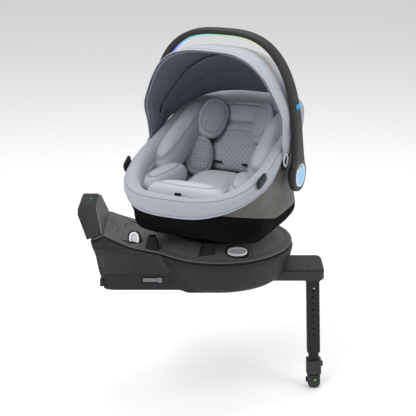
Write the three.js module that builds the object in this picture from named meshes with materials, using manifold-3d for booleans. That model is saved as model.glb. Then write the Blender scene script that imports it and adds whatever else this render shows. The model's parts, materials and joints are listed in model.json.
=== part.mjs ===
// Infant car seat: a carrier with a folding canopy and a turning carry handle, docked on a swivelling
// vehicle base with extending anchor arms and a folding, telescoping support leg.
// Millimetres, +Z up. +X points to the support leg, -X to the vehicle anchors. The origin is on the base's
// flat underside, on the swivel axis.
import * as THREE from "three";
import { ConvexGeometry } from "three/addons/geometries/ConvexGeometry.js";
import { mergeVertices } from "three/addons/utils/BufferGeometryUtils.js";
import Module from "manifold-3d";

const wasm = await Module();
wasm.setup();

// ---- Driving dimensions ---------------------------------------------------------------------------------
const GAP = 0.4; // air between pieces that touch
const BASE = {
  // Turned profile of the round bowl: radius and height.
  bowl: [[0, 0], [150, 0], [163, 4], [175, 18], [184, 40], [191, 62], [195, 78], [192.5, 87], [0, 87]],
  rimR: 192, // platform rim
  rimZ: 95,
  deckT: 7.5, // deck plate thickness
  coneTop: [126, 121], // inner edge of the rising deck ring, radius and height
  holeR: 118, // opening for the turntable
  rearX: -291, // rear bottom corner
  rearHalf: 156, // half width of the rear body at the bottom
  rearZ: 8,
};
// Edge of the deck behind the platform: x, half width, height.
const DECK_EDGE = [
  [-326, 101, 120],
  [-292, 98, 136],
  [-260, 104, 122],
  [-223, 111, 108],
  [-150, 124, 97],
  [-60, 150, 95],
];
// Rebound block: x of its front and back faces, height and half width, at its foot and at its top.
const BLOCK = {
  footX: [-293, -334],
  footZ: [137, 122], // front and back edge
  footHalf: 98,
  topX: [-311, -360],
  topZ: 200,
  topHalf: 56,
  faceTilt: THREE.MathUtils.degToRad(-15.5),
  panelT: 5,
  windowX: -330,
  windowHalf: [8, 4.5],
};
const ARM = { x0: 120, x1: 276, half: 58, z0: -7, z1: 25, cornerR: 16 };
const LEG = {
  tilt: THREE.MathUtils.degToRad(2.2),
  hinge: [230, -14.5], // x and z of the fold pin
  x: 250, // leg axis at the arm
  width: 35,
  depth: 30,
  corner: 5,
  collar: [-9, -26], // top and bottom height
  tubeEnd: -232,
  holes: 8,
  firstHole: -52,
  pitch: 18, // of the catch holes
  inner: [27, 22], // width and depth of the sliding tube
  sleeve: [-256, -296],
  button: [-276.4, -263.6],
  plunger: [30, 26],
  footTop: -299.4,
  footEnd: -338,
};
const PIN_R = 2.9; // fold pin of the leg
const PIN_BORE_R = 3.3;
const ANCHOR = { y: 140, z: 25, w: 22, h: 18, x0: -110, x1: -299 };
const YAW = THREE.MathUtils.degToRad(-25); // the carrier is shown turned 25 degrees towards the door
const SHELL = {
  wall: 4,
  floor: 138, // height of the underside
  floorT: 4,
  levels: [
    // z, half width, length to the foot end, length to the head end, power of the superellipse outline
    [138, 150, 132, 165, 5],
    [143, 162, 158, 185, 4.6],
    [150, 166, 180, 200, 4.4],
    [165, 168, 206, 212, 4],
    [198, 168, 242, 222, 3.2],
    [212, 168, 262, 226, 2.8],
    [232, 168, 284, 240, 2.8],
    [280, 174, 290, 268, 2.8],
    [340, 175, 292, 280, 2.8],
    [460, 174, 294, 286, 2.8],
  ],
  footWiden: 0.045, // the foot half is a little wider
};
// Heights along the carrier, foot end first: y, lower edge of the cover, top of the rim roll.
const RIM = [
  [-300, 231, 284], [-265, 243, 287], [-200, 258, 300], [-140, 274, 318], [-80, 288, 338],
  [-40, 306, 350], [20, 330, 366], [120, 356, 398], [220, 376, 426], [300, 384, 440],
];
const HANDLE = { y: 43, z: 279, rOut: 361, half: 210, power: 2.9, lean: THREE.MathUtils.degToRad(3.2) };
const HUB = { r: 43, thick: 18, buttonR: 31, legThick: 19 };
const CANOPY = { y: -17, z: 321, r: 285, half: 187, power: 2.9, skin: 3 };
const BOW_ANGLE = { front: -12, mid: 34, rear: 66 }; // degrees behind upright
const BACK = { foot: [78, 262], head: [178, 424] }; // backrest surface, y and z at its two ends

// ---- Materials ------------------------------------------------------------------------------------------
const finish = (color, roughness, metalness = 0) =>
  new THREE.MeshStandardMaterial({ color, roughness, metalness });
const MAT = {
  housing: finish(0x2f2f31, 0.55),
  deck: finish(0x4b4846, 0.5),
  shell: finish(0x57544f, 0.5),
  handle: finish(0x3d3b39, 0.6),
  black: finish(0x151517, 0.45),
  white: finish(0xe4e5e6, 0.35),
  blue: finish(0x9cc6e0, 0.35),
  tag: finish(0x1e96cd, 0.5),
  light: finish(0xbfe8c8, 0.3),
  green: finish(0x6fd13a, 0.4),
  steel: finish(0xb9bcc0, 0.35, 1),
  tube: finish(0x3a3a3d, 0.45, 0.4),
  foam: finish(0x3a3d42, 0.9),
  fabric: finish(0xaeb3bb, 0.95),
  quilt: finish(0x93969b, 0.95),
};

// ---- Shape helpers --------------------------------------------------------------------------------------
const object = new THREE.Group();
const rad = THREE.MathUtils.degToRad;

function add(name, geometry, material, parent = object) {
  const mesh = new THREE.Mesh(geometry, material);
  mesh.name = name;
  parent.add(mesh);
  return mesh;
}

// Value of a table [[t, v], ...] at t, straight between its rows.
function table(rows, t, column = 1) {
  if (t <= rows[0][0]) return rows[0][column];
  for (let i = 1; i < rows.length; i++)
    if (t <= rows[i][0]) {
      const k = (t - rows[i - 1][0]) / (rows[i][0] - rows[i - 1][0]);
      return rows[i - 1][column] * (1 - k) + rows[i][column] * k;
    }
  return rows[rows.length - 1][column];
}

// A closed skin over rings of points. Open rows end in caps, closed rows meet their first ring again.
function loft(rings, closed = false) {
  const n = rings[0].length;
  const position = rings.flat(2);
  const index = [];
  const rows = closed ? rings.length : rings.length - 1;
  for (let i = 0; i < rows; i++) {
    for (let j = 0; j < n; j++) {
      const a = i * n + j;
      const b = i * n + ((j + 1) % n);
      const c = ((i + 1) % rings.length) * n + j;
      const d = ((i + 1) % rings.length) * n + ((j + 1) % n);
      index.push(a, b, d, a, d, c);
    }
  }
  if (!closed) {
    for (const [row, flip] of [[0, true], [rings.length - 1, false]]) {
      const middle = [0, 1, 2].map((k) => rings[row].reduce((s, p) => s + p[k], 0) / n);
      const m = position.length / 3;
      position.push(...middle);
      for (let j = 0; j < n; j++) {
        const a = row * n + j;
        const b = row * n + ((j + 1) % n);
        index.push(...(flip ? [m, b, a] : [m, a, b]));
      }
    }
  }
  const g = new THREE.BufferGeometry();
  g.setAttribute("position", new THREE.Float32BufferAttribute(position, 3));
  g.setIndex(volume(position, index) < 0 ? index.reverse() : index);
  g.computeVertexNormals();
  return g;
}

// Six times the signed volume of a closed skin.
function volume(p, index) {
  let v = 0;
  for (let i = 0; i < index.length; i += 3) {
    const [a, b, c] = [0, 1, 2].map((k) => new THREE.Vector3().fromArray(p, 3 * index[i + k]));
    v += a.dot(b.cross(c));
  }
  return v;
}

const hull = (points) => new ConvexGeometry(points.map((p) => new THREE.Vector3(...p)));

// A turned piece about Z from a profile of radius and height.
function turned(profile, segments = 40) {
  const g = new THREE.LatheGeometry(profile.map(([r, z]) => new THREE.Vector2(r, z)), segments);
  return g.rotateX(Math.PI / 2);
}

// A rectangle with round corners, extruded along Z from z0 to z1 and centred on x, y.
function plate(w, d, r, z0, z1, x = 0, y = 0, steps = 4) {
  const s = new THREE.Shape();
  const [a, b] = [w / 2 - r, d / 2 - r];
  s.absarc(a, b, r, 0, Math.PI / 2).absarc(-a, b, r, Math.PI / 2, Math.PI);
  s.absarc(-a, -b, r, Math.PI, 1.5 * Math.PI).absarc(a, -b, r, 1.5 * Math.PI, 2 * Math.PI);
  const g = new THREE.ExtrudeGeometry(s, { depth: z1 - z0, bevelEnabled: false, curveSegments: steps });
  return g.translate(x, y, z0);
}

const bar = (x0, x1, y0, y1, z0, z1) => {
  const g = new THREE.BoxGeometry(x1 - x0, y1 - y0, z1 - z0);
  return g.translate((x0 + x1) / 2, (y0 + y1) / 2, (z0 + z1) / 2);
};

const rod = (r, length, axis, segments = 20) => {
  const g = new THREE.CylinderGeometry(r, r, length, segments);
  return axis === "x" ? g.rotateZ(Math.PI / 2) : g;
};

// Joining and cutting.
function solid(geometry) {
  const g = (geometry.index ? geometry.toNonIndexed() : geometry.clone());
  g.deleteAttribute("normal");
  g.deleteAttribute("uv");
  const m = mergeVertices(g, 1e-3);
  return new wasm.Manifold(
    new wasm.Mesh({
      numProp: 3,
      vertProperties: m.attributes.position.array,
      triVerts: new Uint32Array(m.index.array),
    }),
  );
}

function geometryOf(manifold) {
  const m = manifold.getMesh();
  const g = new THREE.BufferGeometry();
  g.setAttribute("position", new THREE.BufferAttribute(new Float32Array(m.vertProperties), 3));
  g.setIndex(new THREE.BufferAttribute(new Uint32Array(m.triVerts), 1));
  g.computeVertexNormals();
  return g;
}

// The biggest separate body of a cut.
const largest = (manifold) => manifold.decompose().sort((a, b) => b.volume() - a.volume())[0];
const join = (...parts) => geometryOf(parts.map(solid).reduce((a, b) => a.add(b)));
const cut = (body, ...tools) => geometryOf(tools.map(solid).reduce((a, b) => a.subtract(b), solid(body)));

// ---- Base: lower housing, deck and its fittings ---------------------------------------------------------
// The lower edge of the rear body follows the deck's stations, with an upright strip beside the anchor arms.
const lowerParts = [turned(BASE.bowl, 48)];
for (let i = 0; i < DECK_EDGE.length - 1; i++) {
  const pts = [];
  for (const [x, half, z] of [DECK_EDGE[i], DECK_EDGE[i + 1]])
    for (const s of [-1, 1]) {
      const foot = Math.max(x, BASE.rearX);
      pts.push([x, s * half, z - BASE.deckT - GAP], [foot, s * BASE.rearHalf, BASE.rearZ]);
      pts.push([foot - (i ? 0 : 14), s * BASE.rearHalf, 52]);
    }
  lowerParts.push(hull(pts));
}

const anchorChannel = (s) => {
  const [w, h] = [ANCHOR.w / 2 + 1, ANCHOR.h / 2 + 1];
  return bar(
    ANCHOR.x1 - 30, ANCHOR.x0 + 4,
    s * ANCHOR.y - w, s * ANCHOR.y + w,
    ANCHOR.z - h, ANCHOR.z + h,
  );
};
const leverSlot = bar(-196, -122, -170, -BASE.rearHalf + 3.4, 26, 46);
const bearingPocket = turned([[0, 60], [113, 60], [113, 100], [0, 100]], 40);
const armPocket = bar(ARM.x0 - 1, 240, -ARM.half - 1, ARM.half + 1, ARM.z0 - 3, ARM.z1 + 1);

// Buttons in the deck: place on the surface, half sizes, outward normal tilt.
const BUTTONS = {
  side: { at: [-216, -62, 112], a: 13, b: 18, tiltX: rad(52), tiltY: rad(-12) },
  front: { at: [46, -150, 108.5], a: 25, b: 15, tiltX: rad(27), tiltY: 0 },
};
// An oval plug standing on its button's axis, from depth z0 to z1.
function oval(b, grow, z0, z1) {
  const s = new THREE.Shape();
  s.absellipse(0, 0, b.a + grow, b.b + grow, 0, 2 * Math.PI);
  const g = new THREE.ExtrudeGeometry(s, { depth: z1 - z0, bevelEnabled: false, curveSegments: 14 });
  return g.translate(0, 0, z0).rotateX(b.tiltX).rotateY(b.tiltY).translate(...b.at);
}

const ring = turned([
  [BASE.holeR, BASE.coneTop[1] - 6],
  [130, BASE.coneTop[1] - 6.5],
  [168, BASE.rimZ - 6.8],
  [BASE.rimR, BASE.rimZ - BASE.deckT],
  [BASE.rimR, BASE.rimZ - 1],
  [BASE.rimR - 2, BASE.rimZ],
  [172, BASE.rimZ + 2.5],
  BASE.coneTop,
  [BASE.holeR, BASE.coneTop[1]],
  [BASE.holeR, BASE.coneTop[1] - 6],
], 48);
const deckParts = [ring];
for (let i = 0; i < DECK_EDGE.length - 1; i++) {
  const pts = [];
  for (const [x, half, z] of [DECK_EDGE[i], DECK_EDGE[i + 1]])
    for (const s of [-1, 1]) pts.push([x, s * half, z], [x, s * half, z - BASE.deckT]);
  deckParts.push(hull(pts));
}
const underDeck = deckParts.map((g) => g.clone().translate(0, 0, -GAP));
const buttonWells = Object.values(BUTTONS).map((b) => oval(b, 1, -30, 30));
const housing = cut(
  join(...lowerParts), ...deckParts, ...underDeck, ...buttonWells,
  anchorChannel(-1), anchorChannel(1), leverSlot, bearingPocket, armPocket,
);
add("base_lower_housing", housing, MAT.housing);
// A plug through the whole height, to clear a round opening.
const column = (r) => turned([[0, 0], [r, 0], [r, 200], [0, 200]], 48);
add("base_deck", cut(join(...deckParts), column(BASE.holeR), ...buttonWells), MAT.deck);
for (const [side, b] of Object.entries(BUTTONS)) {
  add(side + "_release_button", oval(b, 0, -4, 3.5), MAT.white);
}

// Wedge lugs that guide the carrier's feet, standing on the deck ring.
const deckClear = deckParts.map((g) => g.clone().translate(0, 0, GAP));
function lug(x, y0, half, z, lean = 0) {
  const pts = [];
  for (const s of [-1, 1]) {
    const [wide, slim] = [x + s * half, x + lean + s * half * 0.55];
    pts.push([wide, y0, z - 4]);
    pts.push([wide, y0 + 3, z + 5]);
    pts.push([slim, y0 + 14, z + 36]);
    pts.push([slim, y0 + 26, z + 36]);
    pts.push([wide, y0 + 34, z + 12]);
  }
  const standing = cut(hull(pts), ...deckParts, ...deckClear, column(BASE.holeR + 2));
  return geometryOf(largest(solid(standing)));
}
add("left_guide_lug", lug(-169, -114, 16, 97), MAT.black);
add("right_guide_lug", lug(-32, -164, 19, 95, 11), MAT.black);

// Rebound block at the vehicle end: a dark body with a lighter face panel and an indicator window.
const blockPoints = [];
for (const s of [-1, 1]) {
  blockPoints.push([BLOCK.footX[0], s * BLOCK.footHalf, BLOCK.footZ[0]]);
  blockPoints.push([BLOCK.footX[1], s * BLOCK.footHalf, BLOCK.footZ[1]]);
  // Three steps round the top edge: width share, drop, and how far the two faces draw in.
  for (const [share, drop, front, back] of [[1.18, 22, 6.3, 1], [1.08, 8, 2.3, 1], [0.86, 0, -6, 7]]) {
    const half = s * BLOCK.topHalf * share;
    blockPoints.push([BLOCK.topX[0] + front, half, BLOCK.topZ - drop]);
    blockPoints.push([BLOCK.topX[1] + back, half, BLOCK.topZ - drop]);
  }
}
const blockWhole = cut(hull(blockPoints), ...deckClear);
const slabFor = (x0, x1) =>
  bar(x0, x1, -130, 130, -20, 110).rotateY(BLOCK.faceTilt).translate(BLOCK.footX[0], 0, BLOCK.footZ[0]);
const windowBox = (grow, z0, z1) => {
  const [a, b] = BLOCK.windowHalf;
  return bar(BLOCK.windowX - a - grow, BLOCK.windowX + a + grow, -b - grow, b + grow, z0, z1);
};
add("rebound_block", cut(blockWhole, slabFor(-BLOCK.panelT - GAP, 60), windowBox(GAP, 190, 230)), MAT.housing);
add("block_face_panel", geometryOf(solid(blockWhole).intersect(solid(slabFor(-BLOCK.panelT, 60)))), MAT.deck);
add("block_indicator", windowBox(0, 190 + GAP, BLOCK.topZ + 0.6), MAT.black);

// Adjusting lever of the anchor arms, in its slot in the near side wall.
const leverInner = -BASE.rearHalf + 2.6;
const leverBlade = bar(-190, -150, -BASE.rearHalf - 1.5, leverInner, 31, 41);
const leverGrip = bar(-152, -142, -BASE.rearHalf - 3, leverInner, 29, 43);
add("anchor_adjust_lever", join(leverBlade, leverGrip), MAT.steel);

// ---- Anchor arms ----------------------------------------------------------------------------------------
for (const [side, s] of [["near", -1], ["far", 1]]) {
  const y = s * ANCHOR.y;
  const [w, h] = [ANCHOR.w / 2, ANCHOR.h / 2];
  const body = bar(ANCHOR.x1, ANCHOR.x0, y - w, y + w, ANCHOR.z - h, ANCHOR.z + h);
  const mouth = bar(ANCHOR.x1 - 1, ANCHOR.x1 + 46, y - w + 4, y + w - 4, ANCHOR.z - h + 4, ANCHOR.z + h - 4);
  add(side + "_anchor_arm", cut(body, mouth), MAT.tube);
  // Hooked outline of the latch, along the arm from its mouth.
  const outline = [[6, -4], [38, -4], [42, 0], [38, 4], [26, 4], [24, 0.5], [16, 0.5], [13, 4], [8, 4]];
  const jaw = new THREE.Shape(outline.map(([u, v]) => new THREE.Vector2(u, v)));
  const latch = new THREE.ExtrudeGeometry(jaw, { depth: 8, bevelEnabled: false });
  add(side + "_anchor_jaw", latch.rotateX(Math.PI / 2).translate(ANCHOR.x1, y + 4, ANCHOR.z), MAT.steel);
}

// ---- Support leg ----------------------------------------------------------------------------------------
const armMiddle = (ARM.x0 + ARM.x1) / 2;
const armPlate = (inset, z0, z1) =>
  plate(ARM.x1 - ARM.x0 - 2 * inset, 2 * (ARM.half - inset), ARM.cornerR - inset, z0, z1, armMiddle);

// The leg is built hanging straight down from the hinge pin, then tilted outwards about it.
const leg = new THREE.Group();
leg.position.set(LEG.hinge[0], 0, LEG.hinge[1]);
leg.rotation.y = -LEG.tilt;
object.add(leg);
const legX = LEG.x - LEG.hinge[0];
const legZ = (z) => z - LEG.hinge[1];

// Fixed ears under the arm, on both sides of the collar's knuckle.
const ears = [-1, 1].map((s) => {
  const pts = [];
  for (const y of [s * 17, s * 22]) {
    pts.push([LEG.hinge[0] - 8, y, ARM.z0 + 2]);
    pts.push([LEG.hinge[0] + 8, y, ARM.z0 + 2]);
    pts.push([LEG.hinge[0] - 5, y, -20]);
    pts.push([LEG.hinge[0] + 5, y, -20]);
  }
  return cut(hull(pts), rod(PIN_BORE_R, 60, "y").translate(LEG.hinge[0], 0, LEG.hinge[1]));
});
add("leg_arm", join(armPlate(0, ARM.z0 + 4, ARM.z1 - 5), armPlate(4, ARM.z0, ARM.z1), ...ears), MAT.housing);
add("leg_hinge_pin", rod(PIN_R, 46, "y").translate(LEG.hinge[0], 0, LEG.hinge[1]), MAT.steel);

// A rounded-rectangle column on the leg's axis, between two heights.
const legColumn = (w, d, r, z0, z1) => plate(w, d, r, legZ(z1), legZ(z0), legX, 0, 3);
const tubeBox = (grow, z0, z1) =>
  legColumn(LEG.width + 2 * grow, LEG.depth + 2 * grow, LEG.corner + grow, z0, z1);
const collar = cut(
  join(tubeBox(2, LEG.collar[0], LEG.collar[1]), rod(5.2, 32, "y"), bar(0, 6, -16, 16, -5, 5)),
  rod(PIN_BORE_R, 80, "y"), bar(-20, 60, -60, 60, legZ(-8.6), 40));
add("leg_collar", collar, MAT.housing, leg);
const [innerW, innerD] = LEG.inner;
const outerBore = legColumn(innerW + 1.2, innerD + 1.2, 3.4, LEG.collar[1] - 6, LEG.tubeEnd - 5);
const catchHoles = Array.from({ length: LEG.holes }, (_, i) => {
  const z = legZ(LEG.firstHole - i * LEG.pitch);
  return bar(legX - 2.6, legX + 2.6, -20, -11, z - 2, z + 2);
});
const outerTube = cut(tubeBox(0, LEG.collar[1] - GAP, LEG.tubeEnd), outerBore, ...catchHoles);
add("leg_outer_tube", outerTube, MAT.tube, leg);
add("leg_inner_tube", legColumn(innerW, innerD, 3, -60, LEG.sleeve[0] + GAP), MAT.tube, leg);
const [plungerW, plungerD] = LEG.plunger;
const footBore = legColumn(plungerW + 0.8, plungerD + 0.8, 4, -280, LEG.sleeve[1] - 1);
const adjustSlot = bar(legX + 12, legX + 30, -7, 7, legZ(LEG.button[0] - 0.6), legZ(LEG.button[1] + 0.6));
add("leg_sleeve", cut(tubeBox(2.5, LEG.sleeve[0], LEG.sleeve[1]), footBore, adjustSlot), MAT.housing, leg);
const adjustButton = bar(legX + 16.5, legX + 24.5, -6.4, 6.4, legZ(LEG.button[0]), legZ(LEG.button[1]));
add("leg_adjust_button", adjustButton, MAT.black, leg);
add("foot_plunger", legColumn(plungerW, plungerD, 4, -286, LEG.footTop + GAP), MAT.black, leg);
// Steps of the foot from its top to its tread: how far it draws in, and height.
const footSteps = [[0, LEG.footTop], [0, -324], [-2, -331], [-6, -336.5], [-9, LEG.footEnd]];
const footBody = loft(footSteps.map(([g, z]) => roundRing(LEG.width / 2 + g, 17 + g, legX, legZ(z))));
add("leg_foot", footBody, MAT.housing, leg);
add("foot_indicator", rod(2.6, 2.4, "y", 12).translate(legX + 2, -17 - 1.7, legZ(-311)), MAT.green, leg);
add("foot_latch", bar(legX - 21.6, legX - 17.9, -6, 6, legZ(-322), legZ(-310)), MAT.black, leg);

// A ring of points on a rounded rectangle.
function roundRing(a, b, x, z, n = 24, power = 4) {
  return Array.from({ length: n }, (_, i) => {
    const t = (2 * Math.PI * i) / n;
    const [c, s] = [Math.cos(t), Math.sin(t)];
    return [x + a * Math.sign(c) * Math.abs(c) ** (2 / power), b * Math.sign(s) * Math.abs(s) ** (2 / power), z];
  });
}

// ---- Turntable ------------------------------------------------------------------------------------------
add("bearing_race", turned([[70, 60.5], [110, 60.5], [110, 72], [70, 72], [70, 60.5]], 40), MAT.steel);
const turntable = new THREE.Group();
turntable.rotation.z = YAW;
object.add(turntable);
const HOOK_Y = 74; // of the two hooks that hold the carrier
const hookSlot = (s) => bar(-40, 40, s * HOOK_Y - 9, s * HOOK_Y + 9, 100, 140);
const platterR = BASE.holeR - 1;
const platter = turned(
  [[0, 73], [108, 73], [108, 96], [platterR, 96], [platterR, 122], [106, 125], [0, 125]], 44);
add("turntable", cut(platter, hookSlot(-1), hookSlot(1)), MAT.black, turntable);
for (const [end, s] of [["foot", -1], ["head", 1]]) {
  const stem = bar(-34, 34, s * HOOK_Y - 4, s * HOOK_Y + 4, 103, 128);
  const beak = bar(-34, 34, s * HOOK_Y - 4, s * HOOK_Y + 7, 122, 129);
  add(end + "_dock_hook", join(stem, beak), MAT.steel, turntable);
}

// ---- Carrier shell, liner and cover ---------------------------------------------------------------------
const carrier = new THREE.Group();
carrier.rotation.z = YAW;
object.add(carrier);

const STEPS = 36; // points around the tub
// Plan point of the tub at a height, for an angle around it, moved in by an inset.
function tubPoint(z, t, inset) {
  const [half, foot, head, power] = [1, 2, 3, 4].map((k) => table(SHELL.levels, z, k));
  const [c, s] = [Math.cos(t), Math.sin(t)];
  const x = (half - inset) * Math.sign(c) * Math.abs(c) ** (2 / power);
  const y = ((s < 0 ? foot : head) - inset) * Math.sign(s) * Math.abs(s) ** (2 / power);
  const shoulder = Math.min(1, Math.max(0, (-y - 40) / 80));
  return [x * (1 + SHELL.footWiden * shoulder), y];
}
// The point of the tub's wall at an angle where its height is a function of the plan position.
function wallPoint(height, t, inset) {
  let z = 300;
  let p = [0, 0];
  for (let i = 0; i < 6; i++) {
    p = tubPoint(z, t, inset);
    z = height(p[1]);
  }
  return [p[0], p[1], z];
}
const around = (fn) => Array.from({ length: STEPS }, (_, i) => fn((2 * Math.PI * (i + 0.5)) / STEPS));
const tubRing = (height, inset) => around((t) => wallPoint(height, t, inset));
const coverLow = (y) => table(RIM, y, 1);
const rimTop = (y) => table(RIM, y, 2);
// A cup between an outer and an inner inset, from a floor up to a rim that follows the carrier's length.
function cup(outer, inner, floor, thick, rim) {
  const wallRings = (from, inset) => {
    const zs = [from, ...SHELL.levels.map((l) => l[0]).filter((z) => z > from + 2)];
    return zs.map((z, i) => tubRing((y) => Math.min(z, rim(y) - 0.6 * (zs.length - i)), inset));
  };
  return loft([
    ...wallRings(floor, outer),
    tubRing(rim, outer),
    tubRing(rim, inner),
    ...wallRings(floor + thick, inner).reverse(),
  ]);
}
const shellCup = cup(0, SHELL.wall, SHELL.floor, SHELL.floorT, (y) => coverLow(y) - GAP);
add("carrier_shell", shellCup, MAT.shell, carrier);
// Foam from just inside the shell's wall, thick at the bottom, up to a groove in the cover.
const FOAM = { outer: SHELL.wall + 4, inner: SHELL.wall + 16, floor: 150, thick: 51, belowRim: 16 };
add("foam_liner", cup(FOAM.outer, FOAM.inner, FOAM.floor, FOAM.thick, (y) => rimTop(y) - FOAM.belowRim),
  MAT.foam, carrier);

// Cover: a sleeve over the liner's edge, closed around the tub. Its section steps: height and inset.
const COVER_SECTION = [
  [(y) => coverLow(y) + 0.3, SHELL.wall + 0.1],
  [coverLow, -3],
  [(y) => coverLow(y) + 14, -6],
  [(y) => rimTop(y) - 10, -6],
  [(y) => rimTop(y) - 1, -1],
  [rimTop, 9],
  [(y) => rimTop(y) - 3, 24],
  [(y) => rimTop(y) - 16, 30],
  [(y) => rimTop(y) - 44, 30],
  [(y) => rimTop(y) - 44, 24],
  [(y) => rimTop(y) - 12, 24],
  [(y) => rimTop(y) - 12, SHELL.wall + 0.1],
];
const coverRings = around((t) => COVER_SECTION.map(([height, inset]) => wallPoint(height, t, inset)));
add("seat_cover", loft(coverRings, true), MAT.fabric, carrier);

// ---- Pads -----------------------------------------------------------------------------------------------
// A pillow: an oval slab on a tilted plane, thinner at its edge.
function pillow(a, b, t, power = 2.6) {
  const level = (k, h) => roundRing(a * k, b * k, 0, h, 24, power);
  return loft([level(0.9, -t / 2), level(1, -t / 5), level(1, t / 5), level(0.9, t / 2)]);
}
function place(geometry, at, pitch = 0, roll = 0, yaw = 0) {
  geometry.rotateZ(yaw).rotateY(roll).rotateX(pitch).translate(...at);
  return geometry;
}
const backTilt = Math.atan2(BACK.head[1] - BACK.foot[1], BACK.head[0] - BACK.foot[0]);
// A place on the backrest: across, along it from its foot, and off its surface.
const onBack = (x, along, off) => [
  x,
  BACK.foot[0] + along * Math.cos(backTilt) - off * Math.sin(backTilt),
  BACK.foot[1] + along * Math.sin(backTilt) + off * Math.cos(backTilt),
];
const padPlate = (w, l, t, r) => plate(w, l, r, -t / 2, t / 2, 0, 0, 4);
add("backrest_pad", place(padPlate(150, 128, 36, 22), onBack(0, 64, -18.5), backTilt), MAT.quilt, carrier);
add("head_band", place(padPlate(150, 50, 36, 12), onBack(0, 156, -18.5), backTilt), MAT.fabric, carrier);
for (const [side, s] of [["left", 1], ["right", -1]]) {
  const lean = s * rad(-38); // the side pads lean in towards the child
  const headPad = place(pillow(25, 54, 24, 2.4), onBack(s * 67, 132, 24), backTilt, lean, s * rad(8));
  add(side + "_head_pad", headPad, MAT.quilt, carrier);
  const bodyPad = place(pillow(27, 50, 24, 2.4), onBack(s * 72, 22, 26), backTilt, lean, s * rad(-10));
  add(side + "_body_pad", bodyPad, MAT.quilt, carrier);
  const wingRoll = place(pillow(14, 100, 36, 3), [s * 118, 88, 355], rad(24), s * rad(8), s * rad(2));
  add(side + "_wing_roll", wingRoll, MAT.fabric, carrier);
  const thighBolster = place(pillow(17, 62, 30, 3), [s * 96, -60, 250], rad(6), 0, s * rad(14));
  add(side + "_thigh_bolster", thighBolster, MAT.fabric, carrier);
}
add("seat_insert", place(padPlate(140, 190, 26, 40), [0, -40, 232], rad(7)), MAT.fabric, carrier);
add("front_bolster", place(pillow(98, 24, 32, 3), [0, -196, 246], rad(-8)), MAT.fabric, carrier);
add("adjuster_tab", bar(-9, 9, -236, -233.6, 262, 282), MAT.black, carrier);

// Belt guides on both sides of the cover, just clear of its cloth.
const GUIDE_AT = [180, -152, 312];
for (const [side, s] of [["left", 1], ["right", -1]]) {
  const guide = plate(44, 26, 9, 0, 5, 0, 0, 3);
  guide.rotateX(Math.PI / 2).rotateZ(Math.PI / 2 - 0.12).rotateX(rad(24)).translate(...GUIDE_AT);
  if (s < 0) guide.scale(-1, 1, 1);
  add(side + "_belt_guide", s < 0 ? flipped(guide) : guide, MAT.black, carrier);
}
// A mirrored geometry with its faces turned outwards again.
function flipped(g) {
  const i = g.index ? [...g.index.array] : [...Array(g.attributes.position.count).keys()];
  for (let k = 0; k < i.length; k += 3) [i[k + 1], i[k + 2]] = [i[k + 2], i[k + 1]];
  g.setIndex(i);
  return g;
}

// ---- Handle ---------------------------------------------------------------------------------------------
const handle = new THREE.Group();
handle.position.set(0, HANDLE.y, HANDLE.z);
handle.rotation.x = HANDLE.lean;
carrier.add(handle);
// A point of the arch: angle from the right leg over the top to the left leg, inset from the outer edge.
const arch = (t, inset, y) => {
  const e = 2 / HANDLE.power;
  const [c, s] = [Math.cos(t), Math.sin(t)];
  return [(HANDLE.half - inset) * Math.sign(c) * Math.abs(c) ** e, y, (HANDLE.rOut - inset) * Math.abs(s) ** e];
};
// Thickness and half depth of the arch: both slim down towards its top.
const archThick = (t) => HUB.legThick - 5 * Math.sin(t) ** 0.8;
const archHalf = (t) => 25 - 10 * Math.sin(t) ** 0.8;
const evenly = (from, to, count) =>
  Array.from({ length: count }, (_, i) => from + ((to - from) * i) / (count - 1));
const handleArch = loft(evenly(rad(1), rad(179), 33).map((t) => {
  const [half, thick] = [archHalf(t), archThick(t)];
  return [
    arch(t, 3, -half),
    arch(t, 0, -half + 4),
    arch(t, 0, half - 4),
    arch(t, 3, half),
    arch(t, thick - 3, half),
    arch(t, thick, half - 4),
    arch(t, thick, -half + 4),
    arch(t, thick - 3, -half),
  ];
}));
const hubBody = (s) => rod(HUB.r, HUB.thick, "x", 32).translate(s * (HANDLE.half - HUB.thick / 2 - 1), 0, 0);
const hubBore = (s) => rod(HUB.buttonR + 0.6, 20, "x", 28).translate(s * (HANDLE.half - 1), 0, 0);
const bossBore = (s) => rod(14.5, 20, "x", 24).translate(s * (HANDLE.half - HUB.thick - 1), 0, 0);
const bores = [hubBore(1), hubBore(-1), bossBore(1), bossBore(-1)];
add("carry_handle", cut(join(handleArch, hubBody(1), hubBody(-1)), ...bores), MAT.handle, handle);
const LIGHT = { from: rad(38), to: rad(142), half: 6, thick: 3 };
add("handle_light", loft(evenly(LIGHT.from, LIGHT.to, 25).map((t) => {
  const top = archThick(t) + GAP;
  return [
    arch(t, top, -LIGHT.half),
    arch(t, top, LIGHT.half),
    arch(t, top + LIGHT.thick, LIGHT.half),
    arch(t, top + LIGHT.thick, -LIGHT.half),
  ];
})), MAT.light, handle);
const tagT = rad(21);
const [tagLow, tagHigh] = [arch(tagT - 0.02, -1, 0), arch(tagT + 0.02, -1, 0)];
const tag = bar(-0.5, 0.5, -11, 11, -6, 6);
tag.rotateY(Math.atan2(tagHigh[0] - tagLow[0], tagHigh[2] - tagLow[2])).translate(...arch(tagT, -1.4, 0));
add("handle_tag", tag, MAT.tag, handle);
for (const [side, s] of [["left", 1], ["right", -1]]) {
  const face = rod(HUB.buttonR, 5, "x", 28).translate(s * (HANDLE.half - 2.9), 0, 0);
  const crown = rod(HUB.buttonR - 5, 5, "x", 24).translate(s * (HANDLE.half - 1.6), 0, 0);
  add(side + "_hub_button", join(face, crown), MAT.blue, handle);
}

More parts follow.
